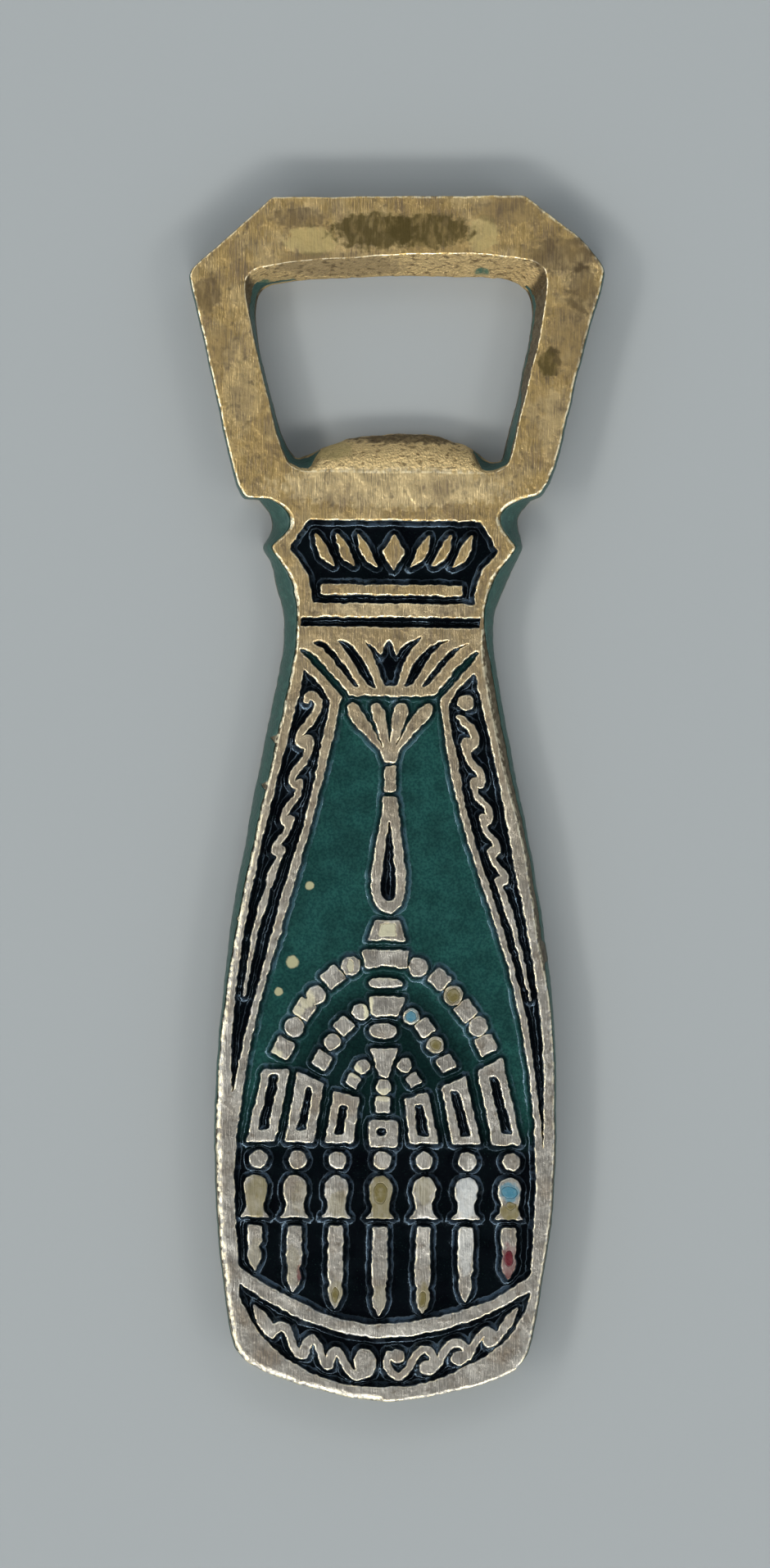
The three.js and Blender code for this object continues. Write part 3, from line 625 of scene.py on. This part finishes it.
def recesses(skin, loops, floor, wear, draft):
    """Worn edges, walls and floors of recesses. Returns the rows where the face begins."""
    brass_left = [loop[::-1] for loop in loops]
    tops = []
    bottoms = []
    for loop, radius in zip(brass_left, room(brass_left, WEAR_ROOM)):
        inward = left_normals(loop)
        width = ARRIS * (0.8 + 0.7 * rough(loop, 0.8, 21))
        edge = wear * eased(np.minimum(width, 0.8 * radius))[:, None]
        rows = []
        for reach, drop in RIM_PROFILE:
            height = FACE - ARRIS_DROP * drop * edge[:, 0]
            rows.append(skin.ring(loop + inward * edge * reach, height, EDGE_MARK - reach**2))
        rows.append(skin.ring(loop - inward * draft, floor, RECESS_MARK))
        skin.stack(rows)
        tops.append(rows[0])
        bottoms.append(rows[-1])
    skin.cover(bottoms)
    return tops


def casting(side, window, relief, specks):
    """The whole casting: its walls, the recesses in its face, its face and its back."""
    skin = Skin()
    side_top, side_foot = side_wall(skin, side)
    window_top, window_foot = window_wall(skin, window)
    tops = [side_top, window_top]
    tops += recesses(skin, relief, RECESS_FLOOR, 1.0, DRAFT)
    tops += recesses(skin, specks, SPECK_FLOOR, SPECK_WEAR, 0.0)
    skin.cover(tops)
    skin.cover([side_foot, window_foot], up=False)
    return skin


# ---- Enamel ----
def grid_inside(loops, spacing, clear):
    """A sparse grid of points over the loops' box, clear of the loops' own points."""
    points = np.concatenate(loops)
    low, high = points.min(axis=0), points.max(axis=0)
    xs = np.arange(low[0] + spacing / 2, high[0], spacing)
    ys = np.arange(low[1] + spacing / 2, high[1], spacing)
    cells = np.array([(x, y) for x in xs for y in ys])
    if not len(cells):
        return cells.reshape(0, 2)
    tree = search_tree(points)
    distances = np.array([tree.find((*cell, 0))[2] for cell in cells])
    return cells[distances > clear]


def enamel_inside(loops, contact):
    """XYZ points of the enamel's surface: its slopes against the walls and its low middle."""
    inner = []
    for loop, radius, height in zip(loops, room(loops, ENAMEL_RUN), contact):
        inward = left_normals(loop)
        for step in ENAMEL_STEPS:
            reach = step * ENAMEL_RUN
            fits = radius > reach * 1.03
            drop = ENAMEL_DROP * (1 - (1 - step) ** 1.6)
            points = (loop + inward * reach)[fits]
            inner.append(np.column_stack([points, height[fits] - drop]))
    middle = grid_inside(loops, ENAMEL_GRID, ENAMEL_RUN)
    low = FACE - ENAMEL_CONTACT - ENAMEL_DROP
    inner.append(np.column_stack([middle, np.full(len(middle), low)]))
    inner = np.concatenate(inner)
    _, kept = np.unique(np.round(inner[:, :2] / CLOSEST), axis=0, return_index=True)
    inner = inner[np.sort(kept)]
    inner[:, 2] += 0.03 * rough(inner[:, :2], 1.6, 5) + 0.012 * rough(inner[:, :2], 0.5, 6)
    return inner


def enamel(loops):
    """Enamel that climbs the walls of its recess and lies lower in its middle."""
    skin = Skin()
    contact = [FACE - ENAMEL_CONTACT - 0.05 * rough(loop, 0.9, 4) for loop in loops]
    tops = [skin.ring(loop, height) for loop, height in zip(loops, contact)]
    inner = enamel_inside(loops, contact)
    skin.cover(tops, skin.ring(inner[:, :2], inner[:, 2]), flat=False)
    bottoms = [skin.ring(loop, RECESS_FLOOR + FLOOR_GAP) for loop in loops]
    for top, bottom in zip(tops, bottoms):
        skin.wall(top, bottom)
    skin.cover(bottoms, up=False)
    return skin


def speck(loops):
    """A thin worn spot of paint, a little lower at its edge."""
    skin = Skin()
    rims = [skin.ring(loop, FACE - 0.07) for loop in loops]
    tops = [skin.ring(loop + 0.15 * left_normals(loop), FACE - 0.01) for loop in loops]
    bottoms = [skin.ring(loop, SPECK_FLOOR + FLOOR_GAP) for loop in loops]
    for top, rim, bottom in zip(tops, rims, bottoms):
        skin.stack([top, rim, bottom])
    skin.cover(tops)
    skin.cover(bottoms, up=False)
    return skin


# ---- Paint on the side and in the window ----
def side_paint_edge(columns):
    """How deep the upper edge of the side's paint lies at each column."""
    x, y = columns[:, 0], columns[:, 1]
    edge = 0.06 + 0.03 * rough(columns[:, :2], 1.5, 11) + 0.02 * rough(columns[:, :2], 0.5, 12)
    bare_right = (x > 0) * rise(y, 19, -4) * rise(y, -20, 4)
    bare_low = rise(y, -34, -6)
    edge += 0.28 * bare_right + 0.3 * bare_low
    for chip_x, chip_y, radius, depth in CHIPS:
        near = 1 - np.hypot(x - chip_x, y - chip_y) / radius
        edge = np.maximum(edge, depth * np.clip(2.5 * near, 0, 1))
    return np.clip(edge, 0.02, COAT_LOWEST - 0.1)


def window_paint_edge(columns):
    """How deep the upper edge of the window's paint lies at each column."""
    x, y = columns[:, 0], columns[:, 1]
    edge = 0.16 + 0.08 * rough(columns[:, :2], 1.2, 13) + 0.06 * rough(columns[:, :2], 0.4, 14)
    edge += 0.6 * (x > 0) * rise(y, 43, 3)
    edge += 0.35 * (x < 0) * rise(y, 54, 2)
    edge += 0.5 * rise(y, 58, 0.8) + 0.6 * lip_share(columns)
    return np.clip(edge, 0.02, COAT_LOWEST - 0.08)


def coat(wall_at, columns, edge, run=None):
    """A thin coat of paint on a wall, all round it or on a run of its columns."""
    skin = Skin()
    kept = slice(None) if run is None else run
    rows = []
    for step, lift in zip(np.linspace(0, 1, len(COAT_LIFTS)), COAT_LIFTS):
        depth = edge + (COAT_LOWEST - edge) * step**1.5
        points = wall_at(columns, depth)
        points = points - left_normals(points) * lift
        rows.append(skin.ring(points[kept], FACE * (1 - depth[kept])))
    middle = (edge + COAT_LOWEST) / 2
    buried = wall_at(columns, middle)
    buried = buried + left_normals(buried) * COAT_BURIED
    rows.append(skin.ring(buried[kept], FACE * (1 - middle[kept])))
    skin.stack(rows + rows[:1], closed=run is None)
    if run is not None:
        skin.faces += [[row[0] for row in rows][::-1], [row[-1] for row in rows]]
        skin.flat += [True, True]
    return skin


def run_of(wanted):
    """The indices where a closed row of columns is wanted, in order from its one gap."""
    indices = np.flatnonzero(wanted)
    gap = np.flatnonzero(np.diff(indices) > 1)
    return np.roll(indices, -(gap[0] + 1)) if len(gap) else indices


# ---- Node helpers ----
def new_material(name):
    """A material, its node tree and its shader."""
    material = bpy.data.materials.new(name)
    material.use_nodes = True
    tree = material.node_tree
    return material, tree, tree.nodes["Principled BSDF"]


def link(tree, socket, target):
    tree.links.new(socket, target)


def feed(tree, socket, value):
    """Links a socket to another, or gives it a value."""
    if isinstance(value, bpy.types.NodeSocket):
        link(tree, value, socket)
    else:
        socket.default_value = value


def add(tree, kind, inputs=(), **settings):
    """A shader node with its settings, and its inputs linked or given a value."""
    made = tree.nodes.new("ShaderNode" + kind)
    for name, value in settings.items():
        setattr(made, name, value)
    for key, value in dict(inputs).items():
        feed(tree, made.inputs[key], value)
    return made


def math_node(tree, operation, a, b=0.0, clamp=False):
    return add(tree, "Math", {0: a, 1: b}, operation=operation, use_clamp=clamp).outputs[0]


def times(tree, a, b):
    return math_node(tree, "MULTIPLY", a, b)


def vector_node(tree, operation, a, b=(0, 0, 0)):
    return add(tree, "VectorMath", {0: a, 1: b}, operation=operation).outputs


def axis_of(tree, where, axis):
    return add(tree, "SeparateXYZ", {0: where}).outputs[axis]


def place(tree, stretch=(1, 1, 1)):
    """The point on the object in millimetres, stretched along its axes."""
    where = add(tree, "TexCoord").outputs["Object"]
    return vector_node(tree, "MULTIPLY", where, tuple(s / MM for s in stretch))[0]


def ramp(tree, value, low, high, out_low=0.0, out_high=1.0):
    """The value mapped smoothly from one range to another."""
    inputs = {"Value": value, "From Min": low, "From Max": high}
    inputs.update({"To Min": out_low, "To Max": out_high})
    return add(tree, "MapRange", inputs, interpolation_type="SMOOTHSTEP").outputs["Result"]


def cloud(tree, where, scale, low=0.4, high=0.6, detail=3.0):
    """Soft noise between 0 and 1; scale is in lumps per millimetre."""
    noise_node = add(tree, "TexNoise", {"Vector": where, "Scale": scale, "Detail": detail})
    return ramp(tree, noise_node.outputs["Fac"], low, high)


def mix(tree, share, below, above):
    """One colour laid over another by a share."""
    made = add(tree, "Mix", data_type="RGBA")
    for key, value in (("Factor", share), ("A", below), ("B", above)):
        feed(tree, next(s for s in made.inputs if s.name == key and s.enabled), value)
    return next(s for s in made.outputs if s.enabled)


def patch(tree, where, x, y, half_width, half_height, ragged=0.5):
    """1 in a ragged oval spot round a place, 0 away from it."""
    offset = vector_node(tree, "SUBTRACT", where, (x, y, 0))[0]
    scaled = vector_node(tree, "MULTIPLY", offset, (1 / half_width, 1 / half_height, 0))[0]
    radius = vector_node(tree, "LENGTH", scaled)["Value"]
    edge = add(tree, "TexNoise", {"Vector": where, "Scale": 1.3, "Detail": 3.0}).outputs["Fac"]
    moved = math_node(tree, "ADD", times(tree, edge, -2 * ragged), radius)
    return ramp(tree, moved, 1.05 - ragged, 0.72 - ragged)


def bumped(tree, height, distance, strength=1.0, normal=None):
    """A normal raised by a height; distance is in millimetres."""
    inputs = {"Height": height, "Distance": distance * MM, "Strength": strength}
    if normal is not None:
        inputs["Normal"] = normal
    return add(tree, "Bump", inputs).outputs["Normal"]


# ---- Brass ----
def brushed_brass(tree, where, above_the_back, lines, stain):
    """Brass, paler and greyer down the front of the handle as a painted reflection of a bluish
    sky, with bright, stained and brushed places.
    """
    # Painted reflection: the brass is greyed towards the foot of the handle, as if it mirrored a
    # bluish sky.
    up_the_handle = ramp(tree, axis_of(tree, where, "Y"), -22, 38)
    on_the_back = math_node(tree, "SUBTRACT", 1.0, above_the_back)
    golden = math_node(tree, "MAXIMUM", up_the_handle, on_the_back)
    colour = mix(tree, golden, SKY_GREY_FOOT_BRASS, HEAD_BRASS)
    polished = mix(tree, golden, SKY_GREY_POLISHED_FOOT, POLISHED_HEAD)
    bright = times(tree, cloud(tree, where, 0.35, 0.46, 0.66, 4.0), 0.4)
    for x, y, half_width, half_height, strength in RUBBED:
        spot = times(tree, patch(tree, where, x, y, half_width, half_height), above_the_back)
        bright = math_node(tree, "MAXIMUM", bright, times(tree, spot, strength))
    colour = mix(tree, bright, colour, polished)
    colour = mix(tree, times(tree, stain, 0.55), colour, STAIN_BROWN)
    brushed = ramp(tree, cloud(tree, where, 0.5, 0.3, 0.7), 0, 1, 0.2, 0.85)
    dark_lines = times(tree, lines, times(tree, brushed, 0.85))
    colour = mix(tree, dark_lines, colour, mix(tree, golden, SKY_GREY_FOOT_LINES, HEAD_LINES))
    dirt = cloud(tree, where, 1.1, 0.54, 0.74, 5.0)
    return mix(tree, times(tree, dirt, 0.6), colour, DIRT)


def rough_cast(tree, colour, cast):
    """The colour turned to pitted cast brass where the surface was never ground."""
    colour = mix(tree, times(tree, cast, 0.85), colour, CAST_BRASS)
    pits = cloud(tree, place(tree, (0.7, 1.3, 1)), 1.9, 0.52, 0.68, 6.0)
    return mix(tree, times(tree, pits, times(tree, cast, 0.8)), colour, PIT_BROWN)


def worn_and_highlit_edges(tree, where, facing, mark, cast):
    """How far an edge is worn bright and carries a painted highlight: in patches, and most on
    its lower left sides, which face the light.
    """
    wear = ramp(tree, mark, 0.2, 1.0)
    edge = times(tree, wear, math_node(tree, "SUBTRACT", 1.0, cast, True))
    edge = times(tree, edge, cloud(tree, where, 1.6, 0.42, 0.56, 3.0))
    # Painted highlight: edges that face the lower left, towards the light, are brightened more.
    lit_lower_left = vector_node(tree, "DOT_PRODUCT", facing, (-0.35, -0.94, 0))["Value"]
    return times(tree, edge, ramp(tree, lit_lower_left, -0.25, 0.25, 0.45, 1.0))


def tarnished(tree, where, colour, stain, above_the_back):
    """The colour with its tarnish and remnants of paint, and how far they cover the brass."""
    mottle = cloud(tree, place(tree, (1, 0.4, 1)), 1.7, 0.3, 0.6, 6.0)
    mottle = times(tree, ramp(tree, mottle, 0, 1, 0.8, 1), above_the_back)
    covered = times(tree, stain, 0.2)
    for x, y, half_width, half_height, tint, strength in TARNISH + REMNANTS:
        spot = patch(tree, where, x, y, half_width, half_height)
        share = times(tree, times(tree, spot, strength), mottle)
        colour = mix(tree, share, colour, tint)
        covered = math_node(tree, "MAXIMUM", covered, share)
    return colour, covered


def brass_relief(tree, where, lines, cast):
    """Bumps of the brushing, the dents and the grain of the cast surfaces."""
    fine = cloud(tree, place(tree, (1, 0.1, 1)), 14.0, 0.3, 0.7, 2.0)
    dents = cloud(tree, where, 0.8, 0.3, 0.7, 4.0)
    grain = cloud(tree, where, 3.5, 0.3, 0.7, 5.0)
    normal = bumped(tree, lines, 0.03, 0.5)
    normal = bumped(tree, fine, 0.012, 0.6, normal)
    normal = bumped(tree, dents, 0.12, 0.5, normal)
    return bumped(tree, times(tree, grain, cast), 0.18, 0.8, normal)


def brass_material():
    """Worn brass: ground on the faces, cast on the lip and under the top bar."""
    material, tree, shader = new_material("brass")
    where = place(tree)
    facing = add(tree, "TexCoord").outputs["Normal"]
    mark = add(tree, "Attribute", attribute_name="mark").outputs["Fac"]
    cast = ramp(tree, mark, 1.1, 1.7)
    above_the_back = ramp(tree, axis_of(tree, where, "Z"), 0.4, 1.0)
    stain = cloud(tree, where, 0.25, 0.5, 0.72, 6.0)
    lines = cloud(tree, place(tree, (1, 0.07, 1)), 6.0, 0.36, 0.64, 4.0)

    colour = brushed_brass(tree, where, above_the_back, lines, stain)
    colour = rough_cast(tree, colour, cast)
    # Painted shade: surfaces that face sideways are darkened to a dark brown.
    sideways = math_node(tree, "ABSOLUTE", axis_of(tree, facing, "X"))
    shaded_wall = ramp(tree, sideways, 0.5, 0.85)
    colour = mix(tree, times(tree, shaded_wall, 0.92), colour, WALL_SHADE_BROWN)
    edge = worn_and_highlit_edges(tree, where, facing, mark, cast)
    # Worn edges with a painted highlight, brightest on their lower left sides.
    colour = mix(tree, edge, colour, WORN_EDGE_AND_HIGHLIGHT)
    colour, covered = tarnished(tree, where, colour, stain, above_the_back)

    roughness = ramp(tree, lines, 0, 1, 0.42, 0.52)
    roughness = math_node(tree, "SUBTRACT", roughness, times(tree, edge, 0.15))
    roughness = math_node(tree, "ADD", roughness, times(tree, covered, 0.15))
    link(tree, colour, shader.inputs["Base Color"])
    link(tree, ramp(tree, covered, 0, 1, 1.0, 0.15), shader.inputs["Metallic"])
    link(tree, ramp(tree, covered, 0, 0.8, 0.5, 0.08), shader.inputs["Specular IOR Level"])
    link(tree, roughness, shader.inputs["Roughness"])
    link(tree, brass_relief(tree, where, lines, cast), shader.inputs["Normal"])
    return material


# ---- Enamel and paint ----
def enamel_colour(tree, where, upper, grain_share, dots):
    """A grained colour up the handle and black below it, with painted shade darkening it up the
    walls of a recess.
    """
    speckle = times(tree, cloud(tree, where, 4.0, 0.35, 0.65, 4.0), grain_share)
    colour = mix(tree, speckle, upper, GREEN_GRAIN)
    up_the_handle = ramp(tree, axis_of(tree, where, "Y"), -40, -34)
    colour = mix(tree, up_the_handle, BLACK_ENAMEL, colour)
    # Painted shade among the arcs, where the enamel lies low between them.
    shade_among_arcs = patch(tree, where, *SHADED_AMONG_ARCS, 0.1)
    colour = mix(tree, times(tree, shade_among_arcs, 0.75), colour, BLACK_ENAMEL)
    # Painted shade: the enamel's slope against a wall is darkened towards black.
    shade_up_the_wall = ramp(tree, axis_of(tree, where, "Z"), FACE - 0.78, FACE - 0.4)
    colour = mix(tree, times(tree, shade_up_the_wall, 0.8), colour, BLACK_ENAMEL)
    shade = cloud(tree, where, 0.35, 0.35, 0.65, 3.0)
    colour = mix(tree, times(tree, shade, 0.3), colour, ENAMEL_SHADE)
    dust = cloud(tree, where, 6.0, 0.62, 0.8, 2.0)
    colour = mix(tree, times(tree, dust, 0.3), colour, ENAMEL_DUST)
    for x, y, radius in dots:
        colour = mix(tree, patch(tree, where, x, y, radius, radius, 0.3), colour, DOT_CREAM)
    return colour


def enamel_material(name, upper, grain_share, dots=()):
    """Glossy enamel, rippled and shinier in places."""
    material, tree, shader = new_material(name)
    where = place(tree)
    link(tree, enamel_colour(tree, where, upper, grain_share, dots), shader.inputs["Base Color"])
    shader.inputs["Roughness"].default_value = 0.16
    shine = cloud(tree, where, 0.28, 0.4, 0.6, 3.0)
    link(tree, ramp(tree, shine, 0, 1, 0.15, 0.75), shader.inputs["Specular IOR Level"])
    shader.inputs["Specular Tint"].default_value = ENAMEL_GLOSS
    grain = cloud(tree, where, 5.0, 0.3, 0.7, 4.0)
    ripple = cloud(tree, where, 0.9, 0.3, 0.7, 2.0)
    normal = bumped(tree, grain, 0.010, 0.6)
    normal = bumped(tree, ripple, 0.06, 0.5, normal)
    link(tree, normal, shader.inputs["Normal"])
    return material


def paint_material(name, colour, rubbed_colour, rubbed_share):
    """Old paint, dulled and rubbed thin in places."""
    material, tree, shader = new_material(name)
    where = place(tree)
    rubbed = cloud(tree, where, 1.1, 0.45, 0.7, 5.0)
    tint = mix(tree, times(tree, rubbed, rubbed_share), colour, rubbed_colour)
    link(tree, tint, shader.inputs["Base Color"])
    link(tree, ramp(tree, rubbed, 0, 1, 0.35, 0.55), shader.inputs["Roughness"])
    lumps = cloud(tree, where, 2.5, 0.3, 0.7, 4.0)
    link(tree, bumped(tree, lumps, 0.05, 0.6), shader.inputs["Normal"])
    return material


def make_materials():
    """The material of each slot."""
    materials = {name: paint_material(name, *paint) for name, paint in PAINTS.items()}
    materials["brass"] = brass_material()
    materials["green_enamel"] = enamel_material("green_enamel", GREEN_ENAMEL, 0.7, FIELD_DOTS)
    materials["black_enamel"] = enamel_material("black_enamel", BLACK_ENAMEL, 0.0)
    return materials


# ---- Building the pieces ----
def slot_of(node):
    """The material slot that the record gives a CAD node."""
    parts = frame["record"]["subparts"]
    return next(part["material_slot"] for part in parts if part["node"] == node)


def show(skin, node, materials):
    """Puts a finished piece in the place of its CAD node."""
    slot = slot_of(node)
    made = skin.piece(node + "_cast", materials[slot])
    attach(made, "root")
    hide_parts(node)


def widened(node, height):
    """The node's outlines, hand-cast and moved out to meet the brass."""
    loops = hand_cast(flat_loops(node, height))
    return [loop - ENAMEL_OVERLAP * left_normals(loop) for loop in loops]


def build_pieces():
    materials = make_materials()
    side, window = outer_columns()
    relief = hand_cast(flat_loops("brass_casting", RECESS_FLOOR))
    specks = hand_cast(flat_loops("brass_casting", SPECK_FLOOR))
    show(casting(side, window, relief, specks), "brass_casting", materials)
    show(coat(side_at, side, side_paint_edge(side)), "side_coat", materials)
    edge = window_paint_edge(window)
    on_side = (window[:, 1] < WINDOW_PAINT_TOP) & (lip_share(window) < 0.95)
    for name, half in (("left", window[:, 0] < 0), ("right", window[:, 0] > 0)):
        run = run_of(on_side & half)
        show(coat(window_at, window, edge, run), "window_coat_" + name, materials)
    for node in sorted(frame["nodes"]):
        if node.startswith("enamel_"):
            show(enamel(widened(node, CAD_ENAMEL_TOP)), node, materials)
        elif "_speck_" in node:
            show(speck(widened(node, CAD_SPECK_TOP)), node, materials)


# ---- Setting ----
def make_camera():
    """A camera straight above, turned as the object lies in its picture."""
    camera = bpy.data.objects.new("camera", bpy.data.cameras.new("camera"))
    bpy.context.scene.collection.objects.link(camera)
    camera.location = (VIEW_CENTRE[0] * MM, VIEW_CENTRE[1] * MM, (FACE + CAMERA_HEIGHT) * MM)
    camera.rotation_euler = (0, 0, VIEW_TURN)
    camera.data.sensor_width = SENSOR
    camera.data.lens = SENSOR * CAMERA_HEIGHT / VIEW_HEIGHT
    camera.data.clip_start, camera.data.clip_end = CLIP_METRES
    bpy.context.scene.camera = camera


def make_floor():
    """A plain pale floor just under the opener's back."""
    corners = [(-1, -1), (1, -1), (1, 1), (-1, 1)]
    points = [(x * FLOOR_METRES, y * FLOOR_METRES, -FLOOR_DROP_METRES) for x, y in corners]
    mesh = bpy.data.meshes.new("floor")
    mesh.from_pydata(points, [], [(0, 1, 2, 3)])
    floor = bpy.data.objects.new("floor", mesh)
    bpy.context.scene.collection.objects.link(floor)
    material, _, shader = new_material("floor")
    shader.inputs["Base Color"].default_value = FLOOR_GREY
    shader.inputs["Roughness"].default_value = 0.6
    mesh.materials.append(material)


def angle_band(tree, height, inner, outer, level):
    """A ring of light round the zenith, between two angles from it."""
    soft = 0.02
    low, high = math.cos(math.radians(outer)), math.cos(math.radians(inner))
    above = ramp(tree, height, low - soft, low + soft)
    below = ramp(tree, height, high + soft, high - soft)
    return times(tree, times(tree, above, below), level)


def make_sky():
    """Soft studio surroundings: dim overhead, and a broken bright ring round a paler sky."""
    world = bpy.data.worlds.new("surroundings")
    bpy.context.scene.world = world
    world.use_nodes = True
    tree = world.node_tree
    direction = add(tree, "TexCoord").outputs["Generated"]
    height = axis_of(tree, direction, "Z")
    side = vector_node(tree, "DOT_PRODUCT", direction, BRIGHT_SIDE)["Value"]
    glow = ramp(tree, side, -0.75, 0.75, *SIDE_LEVELS)
    breaks = ramp(tree, cloud(tree, direction, 2.2, 0.38, 0.62, 1.0), 0, 1, *RING_BREAKS)
    ring = times(tree, angle_band(tree, height, *RING_ANGLES, RING_LEVEL), breaks)
    low_sky = angle_band(tree, height, RING_ANGLES[1], 90, LOW_SKY_LEVEL)
    level = math_node(tree, "ADD", times(tree, ring, glow), low_sky)
    level = math_node(tree, "ADD", level, OVERHEAD_LEVEL)
    tint = mix(tree, ramp(tree, height, 0.62, 0.5), OVERHEAD_TINT, LOW_SKY_TINT)
    background = tree.nodes["Background"]
    link(tree, tint, background.inputs["Color"])
    link(tree, level, background.inputs["Strength"])


def make_key_light():
    """A weak soft light from the left, aimed at the opener."""
    light = bpy.data.lights.new("key", "AREA")
    light.size = KEY_SIZE
    light.energy = KEY_WATTS
    light.color = KEY_COLOUR
    key = bpy.data.objects.new("key", light)
    bpy.context.scene.collection.objects.link(key)
    key.location = KEY_PLACE
    key.rotation_euler = (-Vector(KEY_PLACE)).to_track_quat("-Z", "Y").to_euler()


build_pieces()
make_camera()
make_floor()
make_sky()
make_key_light()
bpy.context.scene.view_settings.view_transform = "Standard"
